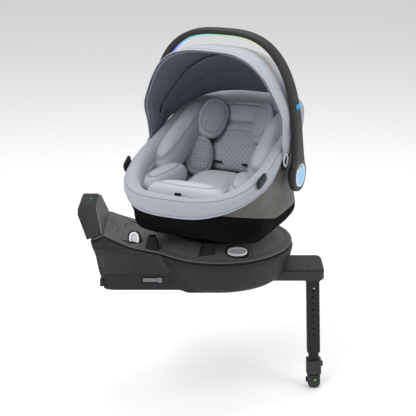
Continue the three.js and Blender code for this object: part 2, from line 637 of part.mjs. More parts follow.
// Pivot bosses on the shell carry the hubs.
for (const [side, s] of [["left", 1], ["right", -1]]) {
  const at = s * (HANDLE.half - HUB.thick - 1);
  const flange = rod(30, 5, "x", 28).translate(at - s * 3.1, HANDLE.y, HANDLE.z);
  const spigot = rod(13.6, 8, "x", 24).translate(at + s * 3.2, HANDLE.y, HANDLE.z);
  add(side + "_pivot_boss", join(flange, spigot), MAT.black, carrier);
}

// ---- Canopy ---------------------------------------------------------------------------------------------
const canopy = new THREE.Group();
canopy.position.set(0, CANOPY.y, CANOPY.z);
carrier.add(canopy);
// A point of a bow: angle over the top, degrees behind upright, moved in by an inset.
function bowPoint(t, behind, inset) {
  const e = 2 / CANOPY.power;
  const [c, s] = [Math.cos(t), Math.sin(t)];
  const x = (CANOPY.half - inset) * Math.sign(c) * Math.abs(c) ** e;
  const r = (CANOPY.r - inset) * Math.abs(s) ** e;
  return [x, r * Math.sin(rad(behind)), r * Math.cos(rad(behind))];
}
const bowSweep = (from, to, outer, inner, t0 = 3.2, steps = 25) =>
  loft(Array.from({ length: steps }, (_, i) => {
    const t = rad(t0) + (Math.PI - 2 * rad(t0)) * (i / (steps - 1));
    return [bowPoint(t, from, outer), bowPoint(t, to, outer), bowPoint(t, to, inner), bowPoint(t, from, inner)];
  }));
add("front_bow", bowSweep(BOW_ANGLE.front, BOW_ANGLE.front + 2.6, 0, 4), MAT.black, canopy);
add("mid_bow", bowSweep(BOW_ANGLE.mid - 1, BOW_ANGLE.mid + 1, 0.5, 4.5), MAT.black, canopy);
function panel(from, to, t0, t1) {
  const rows = 5;
  return loft(Array.from({ length: 25 }, (_, i) => {
    const at = (k, inset) => {
      const low = rad(t0 + ((t1 - t0) * k) / rows);
      return bowPoint(low + (Math.PI - 2 * low) * (i / 24), from + ((to - from) * k) / rows, inset);
    };
    const outer = Array.from({ length: rows + 1 }, (_, k) => at(k, 0));
    const inner = Array.from({ length: rows + 1 }, (_, k) => at(rows - k, CANOPY.skin));
    return [...outer, ...inner];
  }));
}
add("front_canopy_panel", panel(BOW_ANGLE.front + 2.8, BOW_ANGLE.mid - 1.2, 6, 9), MAT.fabric, canopy);
add("rear_canopy_panel", panel(BOW_ANGLE.mid + 1.2, BOW_ANGLE.rear, 12, 60), MAT.fabric, canopy);
for (const [side, s] of [["left", 1], ["right", -1]]) {
  const x = s * (CANOPY.half - 1.2);
  const tongue = bar(-2.6, 2.6, -9, 9, -16, 10).translate(x, CANOPY.y, CANOPY.z);
  const knuckle = rod(9, 6.4, "x", 16).translate(x, CANOPY.y, CANOPY.z);
  add(side + "_canopy_clip", join(tongue, knuckle), MAT.black, carrier);
}

export default object;
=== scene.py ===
# An infant car seat: a carrier with a folding canopy and a turning carry handle, docked on a swivelling
# base that has anchor arms at one end and a folding support leg at the other.
import json
import math

import bmesh
import bpy
import numpy as np
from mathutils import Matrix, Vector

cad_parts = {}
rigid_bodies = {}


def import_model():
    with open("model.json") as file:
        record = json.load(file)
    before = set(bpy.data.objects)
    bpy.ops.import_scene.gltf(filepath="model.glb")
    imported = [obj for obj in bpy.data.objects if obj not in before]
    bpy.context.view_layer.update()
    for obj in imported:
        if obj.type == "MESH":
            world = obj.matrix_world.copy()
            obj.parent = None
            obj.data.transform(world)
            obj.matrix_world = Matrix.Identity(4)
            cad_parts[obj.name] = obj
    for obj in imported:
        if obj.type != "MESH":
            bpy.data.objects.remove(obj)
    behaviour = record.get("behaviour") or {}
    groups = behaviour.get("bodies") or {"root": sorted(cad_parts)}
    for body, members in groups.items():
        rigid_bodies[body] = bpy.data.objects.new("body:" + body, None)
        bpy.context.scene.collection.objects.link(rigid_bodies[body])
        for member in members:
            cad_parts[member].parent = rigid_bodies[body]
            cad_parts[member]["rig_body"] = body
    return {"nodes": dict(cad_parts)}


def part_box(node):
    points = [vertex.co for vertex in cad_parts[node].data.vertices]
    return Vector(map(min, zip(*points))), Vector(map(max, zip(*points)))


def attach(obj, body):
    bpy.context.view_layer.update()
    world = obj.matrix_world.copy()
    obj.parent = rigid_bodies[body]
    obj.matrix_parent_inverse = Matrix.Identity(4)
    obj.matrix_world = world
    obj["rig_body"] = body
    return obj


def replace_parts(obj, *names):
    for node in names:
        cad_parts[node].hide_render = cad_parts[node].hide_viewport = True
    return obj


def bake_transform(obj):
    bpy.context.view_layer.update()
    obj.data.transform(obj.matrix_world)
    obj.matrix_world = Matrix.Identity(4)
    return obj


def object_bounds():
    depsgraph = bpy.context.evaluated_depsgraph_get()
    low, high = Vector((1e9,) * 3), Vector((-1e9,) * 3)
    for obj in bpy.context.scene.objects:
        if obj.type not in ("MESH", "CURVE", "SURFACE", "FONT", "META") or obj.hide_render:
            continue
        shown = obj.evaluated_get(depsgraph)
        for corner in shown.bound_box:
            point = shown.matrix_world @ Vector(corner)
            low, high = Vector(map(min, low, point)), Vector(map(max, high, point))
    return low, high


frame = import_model()
cad_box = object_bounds()
scene = bpy.context.scene
MM = 0.001

# ---- Studio ----------------------------------------------------------------------------------------------
# A plain pale floor under the support leg's foot, one large soft light from the upper left, a weaker one from
# the right, and an even white surround. The camera stands 3 m off and looks 18 degrees down.
FLOOR_Z = cad_box[0].z - 0.001
FLOOR_HALF = 40.0


def shade(red, green, blue):
    """A colour given by its three 0 to 255 screen values, as the linear values that a shader takes."""
    v = np.array([red, green, blue]) / 255
    linear = np.where(v <= 0.04045, v / 12.92, ((v + 0.055) / 1.055) ** 2.4)
    return (*linear.tolist(), 1.0)


def new_piece(name, points, faces, materials, smooth=True):
    """A mesh from points in millimetres and a list of faces, with the given materials and shading."""
    mesh = bpy.data.meshes.new(name)
    mesh.from_pydata((np.asarray(points, float) * MM).tolist(), [], [list(f) for f in faces])
    for material in materials:
        mesh.materials.append(material)
    mesh.polygons.foreach_set("use_smooth", [smooth] * len(mesh.polygons))
    obj = bpy.data.objects.new(name, mesh)
    scene.collection.objects.link(obj)
    return obj


def painted(name, colour, roughness):
    """A material with one node tree: its colour drifts a little over the piece with a slow cloud of noise."""
    material = bpy.data.materials.new(name)
    material.use_nodes = True
    nodes, links = material.node_tree.nodes, material.node_tree.links
    shader = nodes["Principled BSDF"]
    coord = nodes.new("ShaderNodeTexCoord")
    cloud = nodes.new("ShaderNodeTexNoise")
    cloud.inputs["Scale"].default_value = 7.0
    cloud.inputs["Detail"].default_value = 3.0
    links.new(coord.outputs["Object"], cloud.inputs["Vector"])
    tint = nodes.new("ShaderNodeMix")
    tint.data_type = "RGBA"
    tint.inputs["A"].default_value = (*[0.93 * c for c in colour[:3]], 1.0)
    tint.inputs["B"].default_value = (*[min(1.0, 1.07 * c) for c in colour[:3]], 1.0)
    links.new(cloud.outputs["Fac"], tint.inputs["Factor"])
    links.new(tint.outputs["Result"], shader.inputs["Base Color"])
    shader.inputs["Roughness"].default_value = roughness
    return material, nodes, links, shader, coord, tint


floor_paint, _, _, _, _, floor_tint = painted("studio_floor", (0.93, 0.935, 0.94, 1.0), 0.9)
floor_tint.inputs["A"].default_value = floor_tint.inputs["B"].default_value
corners = [[-1, -1], [1, -1], [1, 1], [-1, 1]]
floor = new_piece(
    "studio_floor",
    [[x * FLOOR_HALF / MM, y * FLOOR_HALF / MM, FLOOR_Z / MM] for x, y in corners],
    [[0, 1, 2, 3]], [floor_paint],
)

camera = bpy.data.objects.new("camera", bpy.data.cameras.new("camera"))
scene.collection.objects.link(camera)
camera.location = (-0.027, -2.853, 1.102)
camera.rotation_euler = (math.radians(72), 0, 0)
camera.data.lens = 99.85
camera.data.sensor_width = 36
scene.camera = camera


def soft_light(name, place, target, size, power):
    """A square area light at a place, turned to face a target."""
    data = bpy.data.lights.new(name, "AREA")
    data.size = size
    data.energy = power
    light = bpy.data.objects.new(name, data)
    scene.collection.objects.link(light)
    light.location = place
    aim = np.array(target, float) - np.array(place, float)
    flat = math.hypot(aim[0], aim[1])
    light.rotation_euler = (math.atan2(flat, -aim[2]), 0, math.atan2(aim[1], aim[0]) - math.pi / 2)
    return light


soft_light("key_light", (-1.7, -2.2, 3.0), (0, 0, 0.25), 2.2, 95)
soft_light("fill_light", (2.6, -1.2, 1.6), (0, 0, 0.2), 1.8, 26)
soft_light("top_light", (0.2, 0.6, 3.2), (0, 0, 0.2), 2.0, 45)
world = bpy.data.worlds.new("surround")
world.use_nodes = True
world.node_tree.nodes["Background"].inputs["Color"].default_value = (0.97, 0.985, 1.0, 1.0)
world.node_tree.nodes["Background"].inputs["Strength"].default_value = 0.62
scene.world = world
scene.view_settings.view_transform = "Standard"

# ---- Base: lower housing ---------------------------------------------------------------------------------
# One moulded charcoal shell: a round bowl under the platform runs into a flat-sided rear body that holds the
# anchor arms. Its foot is stepped, and a shallow panel is let into each side of the rear body.
BOWL_Z = [0, 1.5, 4, 10, 18, 29, 40, 52]
BOWL_R = [150, 157, 163, 170, 175, 180, 184, 188]
BOWL_TOP_Z = [52, 62, 70, 78, 87]
BOWL_TOP_R = [188, 191, 193, 195, 192.5]
DECK_X = [-326, -292, -260, -223, -150, -60]
DECK_HALF = [101, 98, 104, 111, 124, 150]
DECK_Z = [120, 136, 122, 108, 97, 95]
REAR_HALF = 156.0
DECK_GAP = 7.9


def grid_faces(rows, columns, close_rows=False, close_columns=False):
    """The four-sided faces of a grid of points, row after row; a closed direction meets itself again."""
    i = np.arange(rows if close_rows else rows - 1)[:, None]
    j = np.arange(columns if close_columns else columns - 1)[None, :]
    after, beside = (i + 1) % rows, (j + 1) % columns
    near = [i * columns + j, i * columns + beside]
    far = [after * columns + beside, after * columns + j]
    quads = np.stack(near + far, -1)
    return quads.reshape(-1, 4)


def outward(obj):
    """Turns the faces of a closed mesh to face outwards."""
    bm = bmesh.new()
    bm.from_mesh(obj.data)
    bmesh.ops.recalc_face_normals(bm, faces=bm.faces)
    bm.to_mesh(obj.data)
    bm.free()
    return obj


def skin(name, grid, materials, around=True, loop=False, smooth=True):
    """A piece from a grid[row, column] of points. Its columns close around; its first and last rows end in a
    fan to their middle point, or the rows close into a loop. Its UV map holds the lengths along the two
    directions, in metres, so that a weave on it keeps one size."""
    grid = np.asarray(grid, float)
    rows, columns = grid.shape[:2]
    faces = grid_faces(rows, columns, loop, around)
    points = grid.reshape(-1, 3)
    fans = []
    if around and not loop:
        points = np.vstack([points, grid[0].mean(0), grid[-1].mean(0)])
        j = np.arange(columns)
        last = (rows - 1) * columns
        fans = [[rows * columns, (k + 1) % columns, k] for k in j]
        fans += [[rows * columns + 1, last + k, last + (k + 1) % columns] for k in j]
    obj = new_piece(name, points, faces.tolist() + fans, materials, smooth)
    across = np.linalg.norm(np.diff(grid, axis=1, append=grid[:, :1]), axis=2).mean(0)
    along = np.linalg.norm(np.diff(grid, axis=0, append=grid[:1]), axis=2).mean(1)
    u = np.concatenate([[0], np.cumsum(across)]) * MM
    v = np.concatenate([[0], np.cumsum(along)]) * MM
    i0, j0 = np.divmod(faces[:, 0], columns)
    corner_u = np.stack([u[j0], u[j0 + 1], u[j0 + 1], u[j0]], 1)
    corner_v = np.stack([v[i0], v[i0], v[i0 + 1], v[i0 + 1]], 1)
    uv = np.zeros((len(obj.data.loops), 2))
    uv[: faces.size] = np.stack([corner_u, corner_v], -1).reshape(-1, 2)
    obj.data.uv_layers.new(name="UVMap").data.foreach_set("uv", uv.ravel())
    return outward(obj) if around else obj


def plastic(name, colour, roughness, grain=0.16, metallic=0.0):
    """Moulded plastic: a fine spark-eroded grain, a slow drift of colour and gloss, and paler edges where the
    surface bends outwards: a painted highlight, with a little rubbed wear."""
    material, nodes, links, shader, coord, tint = painted(name, colour, roughness)
    shader.inputs["Metallic"].default_value = metallic
    shader.inputs["Specular IOR Level"].default_value = 0.22
    geometry = nodes.new("ShaderNodeNewGeometry")
    # Painted highlight: edges that bend outwards are mixed towards a paler colour, standing for light caught
    # on them, with a little rubbed wear.
    edge = nodes.new("ShaderNodeMapRange")
    edge.inputs["From Min"].default_value = 0.515
    edge.inputs["From Max"].default_value = 0.60
    edge.inputs["To Max"].default_value = 0.12
    links.new(geometry.outputs["Pointiness"], edge.inputs["Value"])
    rubbed_and_highlit_edge = nodes.new("ShaderNodeMix")
    rubbed_and_highlit_edge.data_type = "RGBA"
    rubbed_and_highlit_edge.inputs["B"].default_value = (*[min(1.0, 1.6 * c + 0.02) for c in colour[:3]], 1.0)
    links.new(edge.outputs["Result"], rubbed_and_highlit_edge.inputs["Factor"])
    links.new(tint.outputs["Result"], rubbed_and_highlit_edge.inputs["A"])
    links.new(rubbed_and_highlit_edge.outputs["Result"], shader.inputs["Base Color"])
    smear = nodes.new("ShaderNodeTexNoise")
    smear.inputs["Scale"].default_value = 45.0
    smear.inputs["Detail"].default_value = 5.0
    links.new(coord.outputs["Object"], smear.inputs["Vector"])
    gloss = nodes.new("ShaderNodeMapRange")
    gloss.inputs["To Min"].default_value = roughness - 0.07
    gloss.inputs["To Max"].default_value = roughness + 0.09
    links.new(smear.outputs["Fac"], gloss.inputs["Value"])
    links.new(gloss.outputs["Result"], shader.inputs["Roughness"])
    spark = nodes.new("ShaderNodeTexNoise")
    spark.inputs["Scale"].default_value = 1300.0
    spark.inputs["Detail"].default_value = 2.0
    links.new(coord.outputs["Object"], spark.inputs["Vector"])
    bump = nodes.new("ShaderNodeBump")
    bump.inputs["Strength"].default_value = grain
    bump.inputs["Distance"].default_value = 0.0004
    links.new(spark.outputs["Fac"], bump.inputs["Height"])
    links.new(bump.outputs["Normal"], shader.inputs["Normal"])
    return material


def smooth_max(a, b, soft):
    """The larger of two heights, with a round fillet of about `soft` where they meet."""
    return np.logaddexp(a / soft, b / soft) * soft


def box_points(low, high):
    """The eight corners of a box and its six faces, turned outwards."""
    x, y, z = [[low[k], high[k]] for k in range(3)]
    points = [[a, b, c] for a in x for b in y for c in z]
    return points, [[0, 1, 3, 2], [4, 6, 7, 5], [0, 4, 5, 1], [2, 3, 7, 6], [0, 2, 6, 4], [1, 5, 7, 3]]


def applied(obj):
    """Applies the modifiers of a piece to its mesh."""
    graph = bpy.context.evaluated_depsgraph_get()
    mesh = bpy.data.meshes.new_from_object(obj.evaluated_get(graph))
    obj.modifiers.clear()
    obj.data = mesh
    return obj


def carve(obj, cutters):
    """Cuts the closed meshes `cutters` out of a piece and removes them."""
    for cutter in cutters:
        tool = obj.modifiers.new("cut", "BOOLEAN")
        tool.object = cutter
        tool.solver = "EXACT"
    applied(obj)
    for cutter in cutters:
        bpy.data.objects.remove(cutter)
    obj.data.polygons.foreach_set("use_smooth", [True] * len(obj.data.polygons))
    obj.data.set_sharp_from_angle(angle=math.radians(38))
    return obj


turn = np.linspace(-math.pi, math.pi, 289)[:-1]
cos_t, sin_t = np.cos(turn), np.sin(turn)


def rear_reach(half_of_x, rear_x, corner=26.0):
    """How far the straight-sided rear body reaches from the swivel axis in each direction: the side where
    |y| is the half width there, and the end at x = -rear_x, rounded together at their corner."""
    side = np.full_like(cos_t, 400.0)
    for _ in range(12):
        side = 0.5 * side + 0.5 * half_of_x(side * cos_t) / np.maximum(np.abs(sin_t), 0.05)
    end = rear_x / np.maximum(-cos_t, 0.05)
    reach = (side ** -corner + end ** -corner) ** (-1 / corner)
    return np.where(cos_t < -0.1, reach, 0.0)


def deck_half(x):
    return np.interp(x, DECK_X, DECK_HALF)


def deck_height(x):
    return np.interp(x, DECK_X, DECK_Z)


def housing_rows():
    """Rows of the housing from its flat foot up to the deck. At each height the outline is the larger of the
    bowl's radius and the rear body's reach. One row follows the upper edge of the side panels, a line that
    falls from the rear of the deck to the foot of the bowl; below it the wall is let in."""
    foot_reach = rear_reach(lambda x: np.full_like(x, REAR_HALF), 291.0)
    rear = np.clip((foot_reach - 172.0) / 14.0, 0, 1)
    rear = rear * rear * (3 - 2 * rear)
    edge = rear_reach(deck_half, 326.0)
    top = np.interp(edge * cos_t, DECK_X, np.array(DECK_Z) - DECK_GAP)
    top = np.where(cos_t < -0.1, top, 87.0)
    foot = 8 * rear
    panel = np.clip((-foot_reach * cos_t - 122) / 10, 0, 1) * (np.abs(sin_t) > 0.3)
    line = 118 - (foot_reach * cos_t + 316) * 0.4435
    line_share = 0.5 + panel * (np.clip((line - foot) / (top - foot), 0.08, 0.93) - 0.5)
    flat = np.ones_like(turn)
    rows = [(150 * flat, 0 * flat), (150 * flat, foot), (np.where(rear > 0.5, foot_reach - 3, 154.0), foot)]
    below, above = np.linspace(0.01, 0.488, 15), np.linspace(0.5, 1, 16)
    for share in (*below, *above):
        over_line = line_share + (share - 0.5) / 0.5 * (1 - line_share)
        v = np.where(share < 0.5, share / 0.5 * line_share, over_line)
        z = foot + (top - foot) * v
        k = np.clip((z - 52) / (top - 52), 0, 1)
        bowl = np.interp(z, BOWL_Z + BOWL_TOP_Z[1:], BOWL_R + BOWL_TOP_R[1:])
        end = 291.5 + 13.5 * np.clip((z - 8) / 44, 0, 1) + 21 * k
        wall = rear_reach(lambda x: REAR_HALF + (deck_half(x) - REAR_HALF) * k, end)
        let_in = 3.4 * panel * (share < 0.49) * np.clip((v * 12), 0, 1)
        rows.append((smooth_max(bowl, wall - let_in, 1.6), z))
    radius, height = rows[-1]
    rows.append((radius - 1.2, height + 0.0))
    rows.append((radius - 14.0, height - 0.5))
    rows.append((radius * 0.5, 86.0 * flat))
    return np.stack([np.stack([r * cos_t, r * sin_t, z], -1) for r, z in rows])


housing_plastic = plastic("charcoal_housing_plastic", shade(31, 31, 34), 0.5)
housing = skin("lower_housing", housing_rows(), [housing_plastic])
cutters = []
for side in (-1, 1):
    channel = box_points((-330, side * 140 - 12, 15), (-106, side * 140 + 12, 35))
    cutters.append(new_piece("channel", *channel, []))
cutters.append(new_piece("lever_slot", *box_points((-196, -175, 25), (-120, -152.4, 47)), []))
cutters.append(new_piece("arm_pocket", *box_points((119, -59, -10), (240, 59, 26)), []))
carve(housing, cutters)
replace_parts(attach(housing, "base"), "base_lower_housing")

# ---- Base: deck ------------------------------------------------------------------------------------------
# The upper cover of the base: a ring that rises to the turntable, drawn out behind into a ramp up to the
# rebound block. Warm grey plastic, clipped onto the housing with a dark shadow gap all round.
RING_R = [118, 126, 172, 189, 192]
RING_Z = [120.5, 121, 97.5, 95.2, 93.6]


def deck_surface(radius, x):
    """Height of the deck: the higher of the ring's slope at that radius and the rear ramp at that x."""
    ring = np.interp(radius, RING_R, RING_Z) - 4 * np.clip((radius - 192) / 10, 0, 1)
    return smooth_max(ring, deck_height(x) - 1.2 * (x > -70) - 60 * np.clip((x + 90) / 60, 0, 1), 1.3)


deck_edge = smooth_max(np.full_like(turn, 192.0), rear_reach(deck_half, 326.0), 1.4)
rows = []
for k in np.concatenate([[0], np.linspace(0.02, 1, 34)]):
    radius = 118 + (deck_edge - 3.0 - 118) * k
    rows.append((radius, deck_surface(radius, radius * cos_t)))
edge_z = deck_surface(deck_edge - 3, deck_edge * cos_t)
rows.append((deck_edge - 1.0, edge_z - 0.6))
rows.append((deck_edge, edge_z - 2.0))
rows.append((deck_edge, edge_z - 6.4))
rows.append((deck_edge - 1.5, edge_z - 7.4))
for k in (0.8, 0.4, 0.0):
    radius = 118 + (deck_edge - 3.0 - 118) * k
    rows.append((radius, deck_surface(radius, radius * cos_t) - 7.4))
grid = np.stack([np.stack([r * cos_t, r * sin_t, z], -1) for r, z in rows])
deck_plastic = plastic("warm_grey_deck_plastic", shade(92, 91, 90), 0.48)
# Near-black for the hairline gaps, and painted shade in slots, holes and under the deck's edge.
gap_and_shade_black = plastic("dark_gap_and_painted_shade", shade(9, 9, 9), 0.7, grain=0.05)
deck = skin("deck", grid, [deck_plastic, gap_and_shade_black], loop=True)
slots = np.zeros((grid.shape[0], len(turn)), int)
# Painted shadow: the deck's side wall under its edge takes the near-black gap material, coloured as the shade
# beneath the edge.
slots[36:38] = 1  # the shadow gap under the deck's edge
deck.data.polygons.foreach_set("material_index", slots.ravel())

BUTTONS = {
    "side": ((-216, -62, 112), 13, 18, math.radians(52), math.radians(-12)),
    "front": ((46, -150, 108.5), 25, 15, math.radians(27), 0.0),
}


def on_button(points, button):
    """Points given about a button's own middle, tipped and carried to its place in the deck."""
    at, _, _, tip_x, tip_y = button
    p = np.asarray(points, float)
    cx, sx, cy, sy = math.cos(tip_x), math.sin(tip_x), math.cos(tip_y), math.sin(tip_y)
    p = np.stack([p[..., 0], cx * p[..., 1] - sx * p[..., 2], sx * p[..., 1] + cx * p[..., 2]], -1)
    return np.stack([cy * p[..., 0] + sy * p[..., 2], p[..., 1], -sy * p[..., 0] + cy * p[..., 2]], -1) + at


def oval_rows(a, b, steps, count=48, power=2.3):
    """Rows of an oval column: each step is how far it grows past the half sizes, and its height."""
    t = np.linspace(0, 2 * math.pi, count, endpoint=False)
    c = np.sign(np.cos(t)) * np.abs(np.cos(t)) ** (2 / power)
    s = np.sign(np.sin(t)) * np.abs(np.sin(t)) ** (2 / power)
    return np.stack([np.stack([(a + g) * c, (b + g) * s, np.full_like(t, float(h))], -1) for g, h in steps])


WELL_CUT = [(1.2, -40), (1.2, 40)]
wells = [skin("well", on_button(oval_rows(b[1], b[2], WELL_CUT), b), []) for b in BUTTONS.values()]
carve(deck, wells)
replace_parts(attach(deck, "base"), "base_deck")

# White release buttons: an oval rim with a dished middle, in a black well.
black_plastic = plastic("black_plastic", shade(14, 14, 15), 0.4)
white_plastic = plastic("white_button_plastic", shade(228, 229, 231), 0.3, grain=0.05)
dish_plastic = plastic("pale_grey_dish_plastic", shade(196, 198, 201), 0.35, grain=0.05)
for side, b in BUTTONS.items():
    rim = [(-0.5, -4), (0, -3), (0, 2.6), (-0.5, 3.5), (-1.4, 3.9), (-4.5, 3.9)]
    rim += [(-5.4, 3.4), (-6, 2.4), (-9, 1.8)]
    button = skin(side + "_button", on_button(oval_rows(b[1], b[2], rim), b), [white_plastic, dish_plastic])
    slots = np.zeros(len(button.data.polygons), int)
    slots[6 * 48 : 8 * 48] = 1
    slots[-48:] = 1
    button.data.polygons.foreach_set("material_index", slots)
    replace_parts(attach(button, side + "_release"), side + "_release_button")
    well = [(1.0, -9), (1.1, -9), (1.1, 1.4), (3.0, 2.0), (4.6, 0.8), (4.8, -9)]
    collar_rows = on_button(oval_rows(b[1], b[2], well), b)
    collar = skin(side + "_button_well", collar_rows, [black_plastic], loop=True)
    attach(collar, "base")

# Hairline gaps of the cover flap and of the panel round the front button.


def gap_line(name, path, lift=0.0, width=1.5):
    """A flat dark strip that lies in the deck along a path of x, y points, split into short steps so that it
    follows the deck's slope."""
    path = np.asarray(path, float)
    steps = [a + (b - a) * k for a, b in zip(path[:-1], path[1:]) for k in np.linspace(0, 1, 9)[:-1, None]]
    line = np.vstack([*steps, path[-1:]])
    ahead = np.gradient(line, axis=0)
    side = np.stack([-ahead[:, 1], ahead[:, 0]], -1) / np.linalg.norm(ahead, axis=1)[:, None] * width / 2
    rows = []
    for k, dz in ((-1, -1.2), (-1, 0.12), (1, 0.12), (1, -1.2)):
        p = line + k * side
        z = deck_surface(np.hypot(p[:, 0], p[:, 1]), p[:, 0]) + dz + lift
        rows.append(np.column_stack([p, z]))
    strip = skin(name, np.stack(rows, 1), [gap_and_shade_black])
    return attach(strip, "base")


gap_line("flap_gap_far", [[-222, 66], [-243, 53], [-247, 22], [-240, 12]])
gap_line("flap_gap_near", [[-272, 54], [-284, 30], [-262, -2], [-258, -20], [-264, -48]])
gap_line("button_panel_gap", [[-10, -184], [30, -185], [74, -172], [86, -150], [80, -128]])

# ---- Base: guide lugs, rebound block, lever --------------------------------------------------------------
# Hard black lugs that steer the carrier onto the base, and the charcoal rebound block that stands against
# the vehicle's seat back, with a paler face, a blank plate and a small window on top of it.


def moulded(node, material, edge=1.2, steps=3, bend=28):
    """Stands for a CAD piece: the same shape with its points merged, flat faces joined and every edge that
    bends more than `bend` degrees rounded by `edge` mm."""
    body = frame["nodes"][node]["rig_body"]
    mesh = frame["nodes"][node].data.copy()
    obj = bpy.data.objects.new(node.replace("_", "-"), mesh)
    scene.collection.objects.link(obj)
    bm = bmesh.new()
    bm.from_mesh(mesh)
    bmesh.ops.remove_doubles(bm, verts=bm.verts, dist=2e-5)
    bmesh.ops.dissolve_limit(bm, angle_limit=math.radians(0.6), verts=bm.verts, edges=bm.edges)
    bm.to_mesh(mesh)
    bm.free()
    mesh.materials.clear()
    mesh.materials.append(material)
    mesh.polygons.foreach_set("use_smooth", [True] * len(mesh.polygons))
    if "custom_normal" in mesh.attributes:
        mesh.attributes.remove(mesh.attributes["custom_normal"])
    bevel = obj.modifiers.new("edges", "BEVEL")
    bevel.width = edge * MM
    bevel.segments = steps
    bevel.limit_method = "ANGLE"
    bevel.angle_limit = math.radians(bend)
    bevel.harden_normals = True
    applied(obj)
    obj.name = node.replace("_", "-")
    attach(obj, body)
    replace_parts(obj, node)
    return obj


for lug in ("left_guide_lug", "right_guide_lug"):
    moulded(lug, black_plastic, 1.8)
moulded("rebound_block", housing_plastic, 9.0, 5, 12)
moulded("block_face_panel", deck_plastic, 2.2, 3, 24)
moulded("block_indicator", black_plastic, 0.8)
steel = plastic("brushed_steel", shade(170, 172, 176), 0.34, grain=0.3, metallic=1.0)
dark_steel = plastic("dark_steel", shade(112, 113, 116), 0.4, grain=0.3, metallic=1.0)
moulded("anchor_adjust_lever", dark_steel, 1.2)
moulded("bearing_race", steel, 0.6)
plate_paint = plastic("blank_plate", shade(120, 120, 121), 0.5, grain=0.05)
tilt = math.radians(15.5)
across, up = np.meshgrid([-7.5, -6.5, 6.5, 7.5], [-15, -14, 14, 15])
away = np.where((np.abs(across) > 7) | (np.abs(up) > 14.5), -1.5, 0.5)
face = np.stack([-302.2 + away - math.tan(tilt) * (up + 24) , across + 14, 166 + up], -1)
blank = skin("blank_block_plate", face, [plate_paint], around=False)
blank.modifiers.new("body", "SOLIDIFY").thickness = 0.001
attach(blank, "base")
green_lamp = plastic("green_lamp", shade(96, 190, 60), 0.3, grain=0.02)
lamp_at = np.array([[-330.0, 0.0, 0.0]])
lamp_rows = oval_rows(3.6, 2.2, [(0, 199.4), (0, 200.7), (-0.6, 201.0), (-1.8, 201.1)], 20)
lamp = skin("block_lamp", lamp_rows + lamp_at, [green_lamp])
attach(lamp, "base")

# ---- Base: anchor arms -----------------------------------------------------------------------------------
# Steel tubes that slide out towards the vehicle, each with a latch in its mouth.
tube_paint = plastic("dark_powder_coat", shade(30, 30, 33), 0.4, grain=0.3, metallic=0.3)
for side in ("near", "far"):
    moulded(side + "_anchor_arm", tube_paint, 1.6)
    moulded(side + "_anchor_jaw", steel, 0.7)

# ---- Support leg -----------------------------------------------------------------------------------------
# A charcoal arm out of the base's nose carries a folding leg: an outer tube with a row of catch holes, a
# sliding inner tube, and a sleeve with its push button and a sprung foot below.
leg_plastic = plastic("leg_plastic", shade(46, 46, 48), 0.48)
moulded("leg_arm", leg_plastic, 5.0, 4, 24)
moulded("leg_hinge_pin", steel, 0.4)
moulded("leg_collar", leg_plastic, 1.2)
moulded("leg_outer_tube", tube_paint, 0.5, 2)
moulded("leg_inner_tube", tube_paint, 0.5, 2)
moulded("leg_sleeve", leg_plastic, 1.2)
moulded("leg_adjust_button", black_plastic, 1.2)
moulded("foot_plunger", black_plastic, 0.6)
moulded("leg_foot", leg_plastic, 1.0)
moulded("foot_indicator", green_lamp, 0.5)
moulded("foot_latch", black_plastic, 0.8)
arm_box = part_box("leg_arm")
# Painted shade: a dark oval on the arm stands for the screw hole, its depth coloured as shade.
SCREW_STEPS = [(1, 24.0), (1, 25.15), (0.2, 25.35), (-0.6, 25.1), (-1.2, 24.2)]
SCREW_AT = np.array([[236.0, -30.0, 0.0]])
screw = skin("arm_screw_hole", oval_rows(4.2, 4.2, SCREW_STEPS, 24, 2.0) + SCREW_AT, [gap_and_shade_black])
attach(screw, "base")
dash_box = box_points((250.6, -16.0, -44.5), (255.8, -15.2, -42.6))
dash = new_piece("leg_height_mark", *dash_box, [white_plastic])
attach(dash, "upper_leg")

# ---- Turntable -------------------------------------------------------------------------------------------
# A black platter that turns the carrier, with two steel hooks that hold it.
moulded("turntable", black_plastic, 1.5)
for end in ("foot", "head"):
    moulded(end + "_dock_hook", steel, 1.2)

# ---- Carrier shell ---------------------------------------------------------------------------------------
# The hard shell of the carrier: a lower tray painted near-black as the deep shade under the cover, and a warm
# grey upper side, moulded in one tub whose outline is a superellipse. The whole carrier stands turned 25
# degrees on the base.
YAW = math.radians(-25)
# Height, half width, length to the foot end, length to the head end, power of the outline.
TUB = np.array([
    [138, 150, 132, 165, 5], [143, 162, 158, 185, 4.6], [150, 166, 180, 200, 4.4], [165, 168, 206, 212, 4],
    [198, 168, 242, 222, 3.2], [212, 168, 262, 226, 2.8], [232, 168, 284, 240, 2.8],
    [280, 174, 290, 268, 2.8],
    [340, 175, 292, 280, 2.8], [460, 174, 294, 286, 2.8],
])
# Along the carrier from the foot end: y, lower edge of the cover, top of the rim roll.
RIM = np.array([
    [-300, 231, 284], [-265, 243, 287], [-200, 258, 300], [-140, 274, 318], [-80, 288, 338],
    [-40, 306, 350], [20, 330, 366], [120, 356, 398], [220, 376, 426], [300, 384, 440],
])


def to_base(points):
    """Points of the carrier turned about the swivel axis to where the carrier stands."""
    p = np.asarray(points, float)
    c, s = math.cos(YAW), math.sin(YAW)
    return np.stack([c * p[..., 0] - s * p[..., 1], s * p[..., 0] + c * p[..., 1], p[..., 2]], -1)


def eased(table, at, column):
    """A column of a table of rows, read at `at` and averaged over a short span so that it has no corners."""
    span = 9.0
    places = (-span, -span / 2, 0, span / 2, span)
    return sum(np.interp(at + d, table[:, 0], table[:, column]) for d in places) / len(places)


def cover_low(y):
    return eased(RIM, y, 1)


def rim_top(y):
    return eased(RIM, y, 2)


